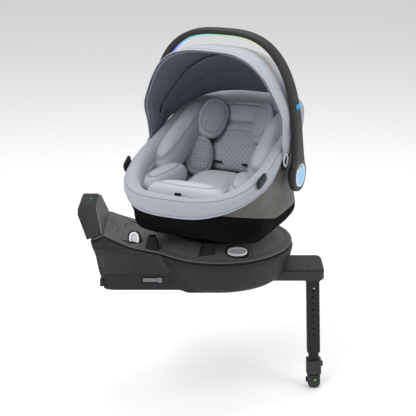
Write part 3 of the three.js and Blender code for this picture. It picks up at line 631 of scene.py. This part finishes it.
def tub_point(z, t, inset):
    """Plan point of the tub at a height for an angle around it: a superellipse, moved in by an inset."""
    half, foot, head, power = [eased(TUB, z, k) for k in (1, 2, 3, 4)]
    c, s = np.cos(t), np.sin(t)
    x = (half - inset) * np.sign(c) * np.abs(c) ** (2 / power)
    y = (np.where(s < 0, foot, head) - inset) * np.sign(s) * np.abs(s) ** (2 / power)
    return x * (1 + 0.045 * np.clip((-y - 40) / 80, 0, 1)), y


def wall_ring(height, t, inset):
    """A ring of the tub's wall whose height is a function of the place along the carrier."""
    z = np.full_like(t, 300.0)
    for _ in range(8):
        x, y = tub_point(z, t, inset)
        z = height(y)
    return np.stack([x, y, z], -1)


ring_t = np.linspace(0, 2 * math.pi, 241)[:-1] + 0.01


def tray_top(y):
    """Height of the line between the near-black tray, painted as shade, and the grey side, higher at the foot
    end.
    """
    return np.minimum(176 + 0.30 * np.clip(-y - 20, 0, 260), cover_low(y) - 2)


rows = []
for k in np.linspace(0, 1, 14):
    rows.append(wall_ring(lambda y: 138 + (tray_top(y) - 0.9 - 138) * k, ring_t, 0.0))
for drop, inset in ((0.8, 1.4), (0.2, 1.4)):
    rows.append(wall_ring(lambda y: tray_top(y) - drop, ring_t, inset))
for k in np.linspace(0, 1, 12):
    rows.append(wall_ring(lambda y: tray_top(y) + (cover_low(y) - 0.6 - tray_top(y)) * k, ring_t, 0.0))
rows.append(wall_ring(lambda y: cover_low(y) - 0.6, ring_t, 3.8))
for k in np.linspace(1, 0, 12):
    rows.append(wall_ring(lambda y: 142 + (cover_low(y) - 0.6 - 142) * k, ring_t, 4.0))
shell_grey = plastic("warm_grey_shell_plastic", shade(78, 75, 71), 0.5)
# Painted shade: the tray is near-black with almost no reflection, as the deep shade under the cover's
# overhang.
tray_shade_black = plastic("tray_painted_shade_plastic", shade(4, 4, 4), 0.75, grain=0.1)
tray_shade_black.node_tree.nodes["Principled BSDF"].inputs["Specular IOR Level"].default_value = 0.04
shell = skin("carrier_shell_skin", to_base(np.stack(rows)), [tray_shade_black, shell_grey])
faces = len(shell.data.polygons)
slots = np.zeros(faces, int)
slots[16 * 240 : 27 * 240] = 1
shell.data.polygons.foreach_set("material_index", slots)
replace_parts(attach(shell, "carrier"), "carrier_shell")

# ---- Seat cover and lining -------------------------------------------------------------------------------
# A padded cover in light cool-grey knitted cloth pulled over the rim of the shell: an outer face with a
# turned hem, a piped seam along the rim, and a crowned inner slope. A lining of the same cloth, painted
# darker as the shade inside the tub, fills the tub.


def cloth(name, colour, thread=1.15, uv=False, sheen=0.25):
    """Knitted or woven cloth: two crossed sets of threads as bump, a fleck of lighter and darker yarn, a slow
    drift of colour, and painted shade along stitched seams, as strong as the piece's seam attribute says."""
    material, nodes, links, shader, coord, tint = painted(name, colour, 0.88)
    shader.inputs["Sheen Weight"].default_value = sheen
    shader.inputs["Sheen Roughness"].default_value = 0.5
    shader.inputs["Specular IOR Level"].default_value = 0.2
    source = coord.outputs["UV"] if uv else coord.outputs["Object"]
    fleck = nodes.new("ShaderNodeTexNoise")
    fleck.inputs["Scale"].default_value = 520.0
    fleck.inputs["Detail"].default_value = 3.0
    links.new(coord.outputs["Object"], fleck.inputs["Vector"])
    yarn = nodes.new("ShaderNodeMix")
    yarn.data_type = "RGBA"
    yarn.blend_type = "OVERLAY"
    yarn.inputs["Factor"].default_value = 0.16
    links.new(tint.outputs["Result"], yarn.inputs["A"])
    links.new(fleck.outputs["Color"], yarn.inputs["B"])
    # Painted shade: the colour is darkened along stitched seams, as the shade in their creases.
    seam = nodes.new("ShaderNodeAttribute")
    seam.attribute_name = "seam"
    painted_seam_shade = nodes.new("ShaderNodeMix")
    painted_seam_shade.data_type = "RGBA"
    painted_seam_shade.inputs["B"].default_value = (*[0.30 * c for c in colour[:3]], 1.0)
    links.new(seam.outputs["Fac"], painted_seam_shade.inputs["Factor"])
    links.new(yarn.outputs["Result"], painted_seam_shade.inputs["A"])
    links.new(painted_seam_shade.outputs["Result"], shader.inputs["Base Color"])
    threads = []
    for axis in ("X", "Y", "Z")[: 2 if uv else 3]:
        wave = nodes.new("ShaderNodeTexWave")
        wave.bands_direction = axis
        wave.inputs["Scale"].default_value = math.pi / 10 / (thread * MM)
        wave.inputs["Distortion"].default_value = 0.6
        links.new(source, wave.inputs["Vector"])
        threads.append(wave.outputs["Fac"])
    height = threads[0]
    for other in threads[1:]:
        both = nodes.new("ShaderNodeMath")
        both.operation = "ADD"
        links.new(height, both.inputs[0])
        links.new(other, both.inputs[1])
        height = both.outputs[0]
    bump = nodes.new("ShaderNodeBump")
    bump.inputs["Strength"].default_value = 0.32
    bump.inputs["Distance"].default_value = 0.0005
    links.new(height, bump.inputs["Height"])
    links.new(bump.outputs["Normal"], shader.inputs["Normal"])
    return material


def paint_seam_shade(obj, strength):
    """Stores how strongly each point lies on a stitched seam, for the cloth material to paint shade there as
    in the seam's crease.
    """
    data = obj.data.attributes.get("seam") or obj.data.attributes.new("seam", "FLOAT", "POINT")
    data.data.foreach_set("value", np.asarray(strength, np.float32))
    return obj


grey_cloth = cloth("grey_knit_cloth", shade(150, 154, 162), uv=True)
grey_cloth_pads = cloth("grey_knit_cloth_pads", shade(158, 162, 170))
# Section of the cover from the inner end of its turned hem, over the rim, to its inner edge: which line the
# height is read from, how far above it, and the inset from the tub's outline.
COVER_SECTION = [
    ("low", 0.5, 4.3), ("low", -0.2, 1.0), ("low", 0.0, -3.0), ("low", 1.6, -5.2), ("low", 4.5, -6.0),
    ("low", 7.0, -5.0), ("low", 8.2, -4.4), ("low", 9.6, -5.4), ("low", 14.0, -7.6), ("mid", 0.0, -9.2),
    ("top", -14.0, -8.6), ("top", -8.0, -7.2), ("top", -4.6, -5.2), ("top", -3.4, -3.4), ("top", -2.0, -3.0),
    ("top", 0.4, -1.2), ("top", 2.2, 4.0), ("top", 2.4, 10.0), ("top", 0.8, 17.0), ("top", -4.0, 23.5),
    ("top", -12.0, 28.0), ("top", -24.0, 31.0), ("top", -44.0, 32.0), ("top", -46.0, 29.0),
    ("top", -30.0, 24.5),
    ("top", -13.0, 22.0), ("top", -12.0, 12.0), ("top", -12.4, 4.3),
]


def cover_height(line, above):
    if line == "mid":
        return lambda y: (cover_low(y) + 12 + rim_top(y) - 14) / 2
    return (lambda y: cover_low(y) + above) if line == "low" else (lambda y: rim_top(y) + above)


rings = [wall_ring(cover_height(line, above), ring_t, inset) for line, above, inset in COVER_SECTION]
section = np.stack(rings)
# Long soft pulls across the outer face and the top.
ring_y = section[16, :, 1]
pulls = 0.9 * np.sin(7 * ring_t + 0.8) + 0.6 * np.sin(17 * ring_t + 2.1) + 0.5 * np.sin(29 * ring_t)
middle = np.exp(-(((np.arange(len(COVER_SECTION)) - 9.5) / 2.2) ** 2))
crown = np.exp(-(((np.arange(len(COVER_SECTION)) - 18) / 2.4) ** 2))
outwards = section - section.mean(1, keepdims=True)
outwards[..., 2] = 0
outwards /= np.linalg.norm(outwards, axis=-1, keepdims=True)
section += outwards * (middle[:, None] * pulls)[..., None]
section[..., 2] += crown[:, None] * (0.8 * pulls + 1.0 * np.sin(11 * ring_t + 1.0))
cover = skin("seat_cover_cloth", to_base(section), [grey_cloth], loop=True)
# Painted shade along the hem's seam and the piped seam over the rim.
seam_rows = np.zeros(len(COVER_SECTION))
seam_rows[6] = 0.65
seam_rows[13] = 0.75
paint_seam_shade(cover, np.repeat(seam_rows, len(ring_t)))
smoothing = cover.modifiers.new("smooth", "SUBSURF")
smoothing.levels = smoothing.render_levels = 1
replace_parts(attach(cover, "carrier"), "seat_cover")

# The lining: a cup of cloth that falls from inside the rim to the seat, softly crowned on both sides.
rows = []
LINING = [(-30, 33.5), (-42, 35), (-60, 40), (-80, 47), (-104, 56), (-130, 68), (-160, 84)]
for drop, inset in LINING:
    rows.append(wall_ring(lambda y: np.maximum(rim_top(y) + drop, 214 + 0.0 * y), ring_t, inset))
rows.append(wall_ring(lambda y: np.full_like(y, 210.0), ring_t, 100))
rows.append(wall_ring(lambda y: np.full_like(y, 208.0), ring_t, 150))
lining_grid = np.stack(rows)
back = lining_grid[::-1].copy()
back[..., 2] -= 5
for row in range(len(back)):
    flat = back[row, :, :2]
    back[row, :, :2] = flat + 4.5 * flat / np.linalg.norm(flat, axis=-1, keepdims=True)
# Painted shade: the lining is the cover's cloth made darker, as the shade that falls inside the tub.
shaded_tub_lining = cloth("lining_cloth_painted_shade", shade(128, 132, 140), uv=True)
lining = skin("tub_lining", to_base(np.concatenate([lining_grid, back])), [shaded_tub_lining], loop=True)
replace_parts(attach(lining, "carrier"), "foam_liner")

# ---- Pads ------------------------------------------------------------------------------------------------
# Loose pads of knitted cloth over foam, blown up a little by their filling: a quilted backrest with a plain
# band over it, quilted crescents beside the head and the body, rolls along the sides, the seat insert.
PUFF_CAP = 7.0
BACK_FOOT = np.array([78.0, 262.0])
BACK_TILT = math.atan2(162, 100)


def pad_form(a, b, t, power):
    """A closed pillow on its own plane: an oval of half sizes a and b whose two faces swell to t / 2."""
    lean = np.linspace(-0.5, 0.5, 25)[1:-1] * math.pi
    around = np.linspace(0, 2 * math.pi, 72, endpoint=False)
    flat = np.cos(lean) ** 0.55
    c = np.sign(np.cos(around)) * np.abs(np.cos(around)) ** (2 / power)
    s = np.sign(np.sin(around)) * np.abs(np.sin(around)) ** (2 / power)
    rows = []
    for k, v in zip(flat, lean):
        rows.append(np.stack([a * k * c, b * k * s, np.full_like(c, t / 2 * math.sin(v))], -1))
    return np.stack(rows)


def puffed(name, a, b, t, power, material, pressure=4.0, fine=2):
    """A filled pad: its form is remeshed into even faces, blown up as cloth for twenty frames without
    moving further than a cap, and subdivided."""
    obj = skin(name, pad_form(a, b, t, power), [material])
    remesh = obj.modifiers.new("even_faces", "REMESH")
    remesh.mode = "VOXEL"
    remesh.voxel_size = 4.5 * MM
    applied(obj)
    obj.data.materials.clear()
    obj.data.materials.append(material)
    start = points_of(obj)
    blow = obj.modifiers.new("filling", "CLOTH")
    blow.settings.quality = 4
    blow.settings.use_pressure = True
    blow.settings.uniform_pressure_force = pressure
    blow.settings.effector_weights.gravity = 0
    blow.point_cache.frame_start = 1
    blow.point_cache.frame_end = 20
    for step in range(1, 21):
        scene.frame_set(step)
    applied(obj)
    scene.frame_set(1)
    moved = points_of(obj) - start
    length = np.maximum(np.linalg.norm(moved, axis=1, keepdims=True), 1e-6)
    put_points(obj, start + moved * np.minimum(1, PUFF_CAP / length))
    finer = obj.modifiers.new("finer", "SUBSURF")
    finer.levels = finer.render_levels = fine
    applied(obj)
    obj.data.polygons.foreach_set("use_smooth", [True] * len(obj.data.polygons))
    return obj


def points_of(obj):
    """The points of a piece, in millimetres."""
    flat = np.zeros(len(obj.data.vertices) * 3)
    obj.data.vertices.foreach_get("co", flat)
    return flat.reshape(-1, 3) / MM


def put_points(obj, points):
    obj.data.vertices.foreach_set("co", (np.asarray(points) * MM).ravel())
    obj.data.update()


def line_near(distance, width):
    """1 on a line and 0 away from it, with a round fall over `width` mm."""
    return np.exp(-((distance / width) ** 2))


def quilted(obj, strength, depth, dark=0.6):
    """Sinks a pad's face along its stitching, and marks the stitching for the cloth material to paint shade
    into its creases.
    """
    points = points_of(obj)
    normals = np.zeros(len(points) * 3)
    obj.data.vertices.foreach_get("normal", normals)
    normals = normals.reshape(-1, 3)
    on = strength(points[:, 0], points[:, 1]) * np.clip(normals[:, 2] * 2, 0, 1)
    put_points(obj, points - normals * (on * depth)[:, None])
    return paint_seam_shade(obj, dark * on)


def squares(u, v, pitch, width):
    """Two crossed sets of stitched lines, `pitch` mm apart."""
    near = [np.abs((k / pitch) % 1 - 0.5) * -pitch + pitch / 2 for k in (u, v)]
    return np.maximum(line_near(near[0], width), line_near(near[1], width))


def set_at(points, at, pitch=0.0, roll=0.0, yaw=0.0):
    """Turns points about Z, then Y, then X, moves them, and turns them with the carrier."""
    x, y, z = points.T
    x, y = math.cos(yaw) * x - math.sin(yaw) * y, math.sin(yaw) * x + math.cos(yaw) * y
    x, z = math.cos(roll) * x + math.sin(roll) * z, math.cos(roll) * z - math.sin(roll) * x
    y, z = math.cos(pitch) * y - math.sin(pitch) * z, math.sin(pitch) * y + math.cos(pitch) * z
    return to_base(np.stack([x, y, z], -1) + np.array(at, float))


def on_back(x, along, off):
    """A place on the backrest: across it, up along it from its foot, and off its face."""
    c, s = math.cos(BACK_TILT), math.sin(BACK_TILT)
    return (x, BACK_FOOT[0] + along * c - off * s, BACK_FOOT[1] + along * s + off * c)


def pad_pair(name, form, stitching, at, pitch, roll=0.0, yaw=0.0):
    """A pad on the left side and its mirror image on the right."""
    left = puffed("left_" + name + "_cloth", *form)
    quilted(left, *stitching)
    right = bpy.data.objects.new("right_" + name + "_cloth", left.data.copy())
    scene.collection.objects.link(right)
    points = points_of(left)
    put_points(left, set_at(points, at, pitch, roll, yaw))
    put_points(right, set_at(points * [-1, 1, 1], (-at[0], at[1], at[2]), pitch, -roll, -yaw))
    right.data.flip_normals()
    for side, obj in (("left_", left), ("right_", right)):
        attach(obj, frame["nodes"][side + name]["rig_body"])
        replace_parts(obj, side + name)


def one_pad(node, form, stitching, at, pitch):
    """A single pad that stands for a CAD pad. Its form is half width, half length, thickness, roundness and
    cloth; its stitching is a pattern and how deep it sinks."""
    obj = puffed(node + "_cloth", *form)
    quilted(obj, *stitching)
    put_points(obj, set_at(points_of(obj), at, pitch))
    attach(obj, frame["nodes"][node]["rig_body"])
    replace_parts(obj, node)
    return obj


def crescent(a, b):
    """Stitching of a side pad: a seam inside its edge and squares within the seam."""
    def strength(x, y):
        r = ((np.abs(x) / a) ** 2.4 + (np.abs(y) / b) ** 2.4) ** (1 / 2.4)
        border = line_near((r - 0.74) * min(a, b), 1.3)
        inside = 1 / (1 + np.exp((r - 0.72) * 60))
        return np.maximum(border, 0.75 * inside * squares(x + 4.5, y, 9.0, 1.1))
    return strength


def edge_seam(a, b, power, at=0.84):
    """One stitched line that follows the outline of a pad."""
    def strength(x, y):
        r = ((np.abs(x) / a) ** power + (np.abs(y) / b) ** power) ** (1 / power)
        return line_near((r - at) * min(a, b), 1.5)
    return strength


def back_quilting(x, y):
    """Diamonds over the lower part of the backrest, under a curved seam."""
    top = 44 - x * x / 420
    below = 1 / (1 + np.exp((y - top) * 1.2))
    return np.maximum(line_near(y - top, 1.5), 0.8 * below * squares(x + y, x - y, 13.5, 1.5))


quilt_cloth = cloth("quilted_knit_cloth", shade(150, 154, 163), thread=1.0)
one_pad("backrest_pad", (76, 67, 36, 5, quilt_cloth), (back_quilting, 2.0), on_back(0, 64, -18.5),
        BACK_TILT)
one_pad("head_band", (76, 29, 36, 3.4, grey_cloth_pads), (edge_seam(76, 29, 3.4), 1.2),
        on_back(0, 156, -18.5), BACK_TILT)
pad_pair("head_pad", (41, 58, 30, 2.3, quilt_cloth), (crescent(41, 58), 1.5), on_back(72, 124, 25), BACK_TILT,
         math.radians(-34), math.radians(8))
pad_pair("body_pad", (41, 56, 30, 2.3, quilt_cloth), (crescent(41, 56), 1.5), on_back(86, 16, 29), BACK_TILT,
         math.radians(-38), math.radians(-10))
pad_pair("wing_roll", (30, 142, 92, 3.0, grey_cloth_pads), (edge_seam(30, 142, 3.0, 0.9), 0.8),
         (126, 52, 340), math.radians(23), math.radians(8), math.radians(2))
pad_pair("thigh_bolster", (30, 80, 66, 2.6, grey_cloth_pads), (edge_seam(30, 80, 2.6, 0.66), 1.4),
         (108, -98, 264),
         math.radians(6), 0.0, math.radians(14))
insert_cloth = cloth("pale_insert_cloth", shade(176, 180, 187))
one_pad("seat_insert", (76, 100, 46, 3.2, insert_cloth), (edge_seam(76, 100, 3.2, 0.84), 2.0),
        (0, -46, 240), math.radians(7))
one_pad("front_bolster", (104, 36, 66, 3.0, insert_cloth), (edge_seam(104, 36, 3.0, 0.7), 1.4),
        (0, -186, 262), math.radians(-8))

# Two slots at the foot of the backrest, where the shoulder straps pass through: flat ovals in painted shade,
# dark as the inside of the slots.
for side, s in (("left", 1), ("right", -1)):
    slot_rows = oval_rows(14, 2.6, [(-0.6, -1.5), (0, -1.0), (0, 1.0), (-0.6, 1.5)], 32, 5)
    placed = set_at(slot_rows.reshape(-1, 3), on_back(s * 42, 14, 1.2), BACK_TILT)
    slit = skin(side + "_strap_slot", placed.reshape(slot_rows.shape), [gap_and_shade_black])
    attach(slit, "carrier")

# ---- Carry handle ----------------------------------------------------------------------------------------
# A charcoal arch with a rounded section, slimmer over the top, that grows into a round hub on each side. Each
# hub holds a pale blue button; a strip of coloured light is let into the underside of the arch.
PIVOT = np.array([0.0, 43.0, 279.0])
HANDLE_LEAN = math.radians(3.2)
HANDLE_HALF, HANDLE_REACH, HANDLE_POWER = 210.0, 361.0, 2.9


def on_handle(points):
    """Points given about the handle's pivot, carried to the base frame."""
    x, y, z = np.moveaxis(np.asarray(points, float), -1, 0)
    c, s = math.cos(HANDLE_LEAN), math.sin(HANDLE_LEAN)
    return to_base(np.stack([x, c * y - s * z, s * y + c * z], -1) + PIVOT)


def arch_point(t, inset, y):
    """A point of the arch: its angle over the top, how far inside the outer line, and across its width."""
    c, s = np.cos(t), np.sin(t)
    x = (HANDLE_HALF - inset) * np.sign(c) * np.abs(c) ** (2 / HANDLE_POWER)
    return np.stack([x, y + 0 * t, (HANDLE_REACH - inset) * np.abs(s) ** (2 / HANDLE_POWER)], -1)


def arch_thick(t):
    return 19 - 5 * np.sin(t) ** 0.8


def superoval(count, power):
    """Cosine-like and sine-like halves of a rounded oval section."""
    a = np.linspace(0, 2 * math.pi, count, endpoint=False)
    return [np.sign(f) * np.abs(f) ** (2 / power) for f in (np.cos(a), np.sin(a))]


arch_t = np.radians(np.linspace(1, 179, 161))[:, None] + np.zeros((1, 40))
section_c, section_s = superoval(40, 4.2)
leg_height = np.abs(np.sin(arch_t)) ** (2 / HANDLE_POWER) * HANDLE_REACH
arch_half = 25 - 10 * np.sin(arch_t) ** 0.8 + 15 * np.exp(-((leg_height / 52) ** 2))
arch_grid = arch_point(arch_t, arch_thick(arch_t) / 2 * (1 - section_c), 0)
arch_grid[..., 1] = arch_half * section_s
handle_plastic = plastic("charcoal_handle_plastic", shade(47, 46, 45), 0.46)
arch = skin("carry_handle_arch", on_handle(arch_grid), [handle_plastic])
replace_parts(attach(arch, "handle"), "carry_handle")


def turned_x(name, profile, side, materials, count=96):
    """A turned piece about the pivot axis from a profile of radius and distance from the middle."""
    a = np.linspace(0, 2 * math.pi, count, endpoint=False)
    rows = [np.stack([np.full_like(a, side * x), r * np.cos(a), r * np.sin(a)], -1) for r, x in profile]
    return skin(name, on_handle(np.stack(rows)), materials)


HUB_PROFILE = [(4, 191), (30, 191), (38, 191), (40.5, 191.6), (42, 193), (43, 196), (43, 204),
               (42.4, 206.2), (41, 207.6), (39.6, 208.6), (38, 209), (33.4, 209),
               (32.2, 208.6), (31.7, 207.6), (31.6, 198.4), (4, 198.2)]
BUTTON_PROFILE = [(4, 203.9), (28, 203.9), (30.7, 204.2), (30.8, 208.0), (30.2, 209.4), (28.8, 210.1),
                  (26.8, 210.2), (25.6, 209.7), (25.0, 209.0), (22, 208.9), (12, 208.3), (4, 208.2)]
BOSS_PROFILE = [(4, 185.4), (29, 185.4), (30, 186.2), (30, 189.4), (29, 190.4), (4, 190.4)]
button_blue = plastic("pale_blue_button", shade(148, 194, 226), 0.32, grain=0.05)
button_rim = plastic("pale_button_rim", shade(206, 222, 236), 0.3, grain=0.05)
for side, s in (("left", 1), ("right", -1)):
    hub = turned_x(side + "_handle_hub", HUB_PROFILE, s, [handle_plastic])
    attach(hub, "handle")
    button = turned_x(side + "_hub_push", BUTTON_PROFILE, s, [button_blue, button_rim])
    slots = np.zeros(len(button.data.polygons), int)
    slots[2 * 96 : 8 * 96] = 1
    button.data.polygons.foreach_set("material_index", slots)
    body = frame["nodes"][side + "_hub_button"]["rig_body"]
    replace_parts(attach(button, body), side + "_hub_button")
    boss = turned_x(side + "_boss_flange", BOSS_PROFILE, s, [black_plastic])
    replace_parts(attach(boss, "carrier"), side + "_pivot_boss")

# The light strip: a diffuser whose colour runs through the rainbow from one end to the other.
light_t = np.radians(np.linspace(142, 38, 121))[:, None] + np.zeros((1, 16))
light_c, light_s = superoval(16, 3.0)
light_grid = arch_point(light_t, arch_thick(light_t) + 1.9 - 1.5 * light_c, 0)
light_grid[..., 1] = 6 * light_s
strip = skin("handle_light_strip", on_handle(light_grid), [])
along = np.repeat(np.linspace(0, 1, 121), 16)
data = strip.data.attributes.new("along", "FLOAT", "POINT")
data.data.foreach_set("value", np.append(along, [0, 1]).astype(np.float32))
glow, nodes, links, shader, coord, tint = painted("rainbow_diffuser", (0.8, 0.8, 0.8, 1.0), 0.35)
place_along = nodes.new("ShaderNodeAttribute")
place_along.attribute_name = "along"
ramp = nodes.new("ShaderNodeValToRGB")
RAINBOW = [(0.0, (160, 110, 225)), (0.17, (120, 130, 235)), (0.34, (100, 195, 225)), (0.5, (110, 210, 140)),
           (0.67, (220, 220, 110)), (0.84, (240, 165, 100)), (1.0, (238, 95, 85))]
for k, (position, colour) in enumerate(RAINBOW):
    stop = ramp.color_ramp.elements[k] if k < 1 else ramp.color_ramp.elements.new(position)
    stop.position = position
    stop.color = shade(*colour)
ramp.color_ramp.elements.remove(ramp.color_ramp.elements[-1])
links.new(place_along.outputs["Fac"], ramp.inputs["Fac"])
links.new(ramp.outputs["Color"], shader.inputs["Emission Color"])
links.new(ramp.outputs["Color"], shader.inputs["Base Color"])
shader.inputs["Emission Strength"].default_value = 0.75
strip.data.materials.append(glow)
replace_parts(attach(strip, "handle"), "handle_light")
tag_blue = plastic("blank_blue_tag", shade(30, 150, 205), 0.4, grain=0.05)
moulded("handle_tag", tag_blue, 0.3)

# ---- Canopy ----------------------------------------------------------------------------------------------
# One sheet of light grey cloth with a dark blue-grey lining, stretched over two hoops that turn on a clip at
# each side. It is seamed over both hoops, hemmed at the front, and runs down to the rim at the head end.
CLIP_Y, CLIP_Z = -17.0, 321.0
HOOP_HALF, HOOP_REACH = 187.0, 285.0
FRONT_EDGE, MIDDLE_SEAM, BACK_SEAM = -12.0, 34.0, 51.0


def hoop_point(t, behind, inset=0.0):
    """A point of the canopy: its angle over the top, degrees behind upright, and inset. The sides swell a
    little outwards part way up."""
    c, s = np.cos(t), np.sin(t)
    x = (HOOP_HALF - inset) * np.sign(c) * np.abs(c) ** (2 / 2.9)
    d = (HOOP_REACH - inset) * np.abs(s) ** (2 / 2.9)
    x = x + np.sign(c) * 9 * np.exp(-(((d - 125) / 42) ** 2)) * np.clip(np.abs(c) * 3, 0, 1)
    return np.stack([x, CLIP_Y + d * np.sin(np.radians(behind)), CLIP_Z + d * np.cos(np.radians(behind))], -1)


def span_between(low, high, behind):
    """0 at both ends of a span and 1 in its middle."""
    return np.sin(np.pi * np.clip((behind - low) / (high - low), 0, 1)) ** 1.3


over = np.radians(90 - 88.6 * np.sin(np.linspace(90, -90, 181) / 180 * math.pi))[None, :]
reach_here = HOOP_REACH * np.abs(np.sin(over)) ** (2 / 2.9)
lip = 35.2 - 25 * np.exp(-((reach_here / 160) ** 2))
back_edge = np.degrees(np.arccos(np.clip(lip / np.maximum(reach_here, 20), -1, 1))) - 17.7
back_edge = np.maximum(back_edge, 22.0)
share = np.linspace(0, 1, 131)[:, None]
behind = FRONT_EDGE + (back_edge - FRONT_EDGE) * share
low_down = np.exp(-((reach_here / 120) ** 2))
sag = 5.5 * span_between(FRONT_EDGE, MIDDLE_SEAM, behind) + 2.0 * span_between(MIDDLE_SEAM, BACK_SEAM, behind)
sag = sag + 4.0 * span_between(BACK_SEAM, 72.0, behind)
sag = sag * np.clip(reach_here / 90, 0, 1)
folds = 2.6 * np.sin(np.radians(behind) * 15 + 1.1) + 1.5 * np.sin(np.radians(behind) * 27 + 2.0 * over)
folds = folds * np.clip((reach_here - 60) / 45, 0.4, 1)
ripples = 0.7 * np.sin(9 * over + 3 * np.radians(behind)) + 0.5 * np.sin(21 * over + 1.3)
sag = sag + low_down * folds + 0.6 * ripples * np.clip(reach_here / 90, 0, 1)
sheet_grid = hoop_point(over + 0 * behind, behind, sag)
# Painted shade along the seams over the hoops and the stitching of the hem.
away = np.radians(behind - FRONT_EDGE) * reach_here
seam = line_near(np.radians(behind - MIDDLE_SEAM) * reach_here, 1.3) + line_near(away - 12, 0.9)
seam = np.clip(seam + line_near(np.radians(behind - BACK_SEAM) * reach_here, 1.3), 0, 1)
canopy_cloth = cloth("canopy_knit_cloth", shade(160, 165, 173), uv=True)
canopy_lining = cloth("canopy_blue_grey_lining", shade(112, 118, 130), uv=True, sheen=0.15)
canopy = skin("canopy_cloth", to_base(sheet_grid), [canopy_cloth, canopy_lining], around=False)
if canopy.data.polygons[65 * 180 + 90].normal.z < 0:
    canopy.data.flip_normals()
paint_seam_shade(canopy, 0.7 * seam.ravel())
thickness = canopy.modifiers.new("thickness", "SOLIDIFY")
thickness.thickness = 1.8 * MM
thickness.offset = -1
thickness.material_offset = 1
thickness.material_offset_rim = 0
applied(canopy)
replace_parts(canopy, "front_canopy_panel")
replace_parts(canopy, "rear_canopy_panel")
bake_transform(canopy)

# The hoops: flat bands in sleeves of the lining cloth, inside the sheet: body, degrees behind upright, half
# width in degrees, inset and where their ends stop. A soft loop of cloth hangs at each clip.
band_c, band_s = superoval(20, 3.2)
HOOPS = (("front_bow", FRONT_EDGE + 1.7, 1.1, 6.2, 9.0), ("mid_bow", MIDDLE_SEAM, 0.9, 9.0, 14.0))
for node, middle, half, depth, end in HOOPS:
    band_t = np.radians(np.linspace(end, 180 - end, 121))[:, None] + np.zeros((1, 20))
    band = hoop_point(band_t, middle + half * band_s, depth - 2.0 * band_c)
    hoop = skin(node + "_band", to_base(band), [canopy_lining])
    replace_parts(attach(hoop, node), node)
for side, s in (("left", 1), ("right", -1)):
    moulded(side + "_canopy_clip", black_plastic, 1.6)
    loop_t = np.linspace(0, 2 * math.pi, 48, endpoint=False)[:, None]
    loop_c, loop_s = superoval(16, 2.6)
    ring = 15 + 2.6 * loop_c + 0.7 * np.sin(7 * loop_t)
    loop_grid = np.stack([s * (190.5 + 2.0 * loop_s) + 0 * ring, CLIP_Y + ring * 0.8 * np.cos(loop_t),
                          CLIP_Z + 10 + ring * np.sin(loop_t)], -1)
    loop_piece = skin(side + "_canopy_end_loop", to_base(loop_grid), [canopy_cloth], loop=True)
    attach(loop_piece, "carrier")

# ---- Belt guides and adjuster tab ------------------------------------------------------------------------
# A soft black guide stitched to each side of the cover with a ribbed middle, and a short black webbing tab.
rib_black = plastic("ribbed_dark_grey", shade(46, 47, 50), 0.6, grain=0.4)
GUIDE_AT = np.array([180.0, -152.0, 312.0])
for side, s in (("left", 1), ("right", -1)):
    moulded(side + "_belt_guide", black_plastic, 1.8)
    rib_rows = oval_rows(17, 9, [(-0.8, 4.6), (0, 5.0), (0, 6.2), (-1.0, 6.9), (-3.0, 7.1)], 48, 3.4)
    x, y, z = np.moveaxis(rib_rows, -1, 0)
    x, y, z = x, -z, y
    a = math.pi / 2 - 0.12
    x, y = math.cos(a) * x - math.sin(a) * y, math.sin(a) * x + math.cos(a) * y
    a = math.radians(24)
    y, z = math.cos(a) * y - math.sin(a) * z, math.sin(a) * y + math.cos(a) * z
    rib = np.stack([x, y, z], -1) + GUIDE_AT
    rib[..., 0] *= s
    middle = skin(side + "_guide_middle", to_base(rib), [rib_black])
    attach(middle, "carrier")
moulded("adjuster_tab", black_plastic, 0.8)
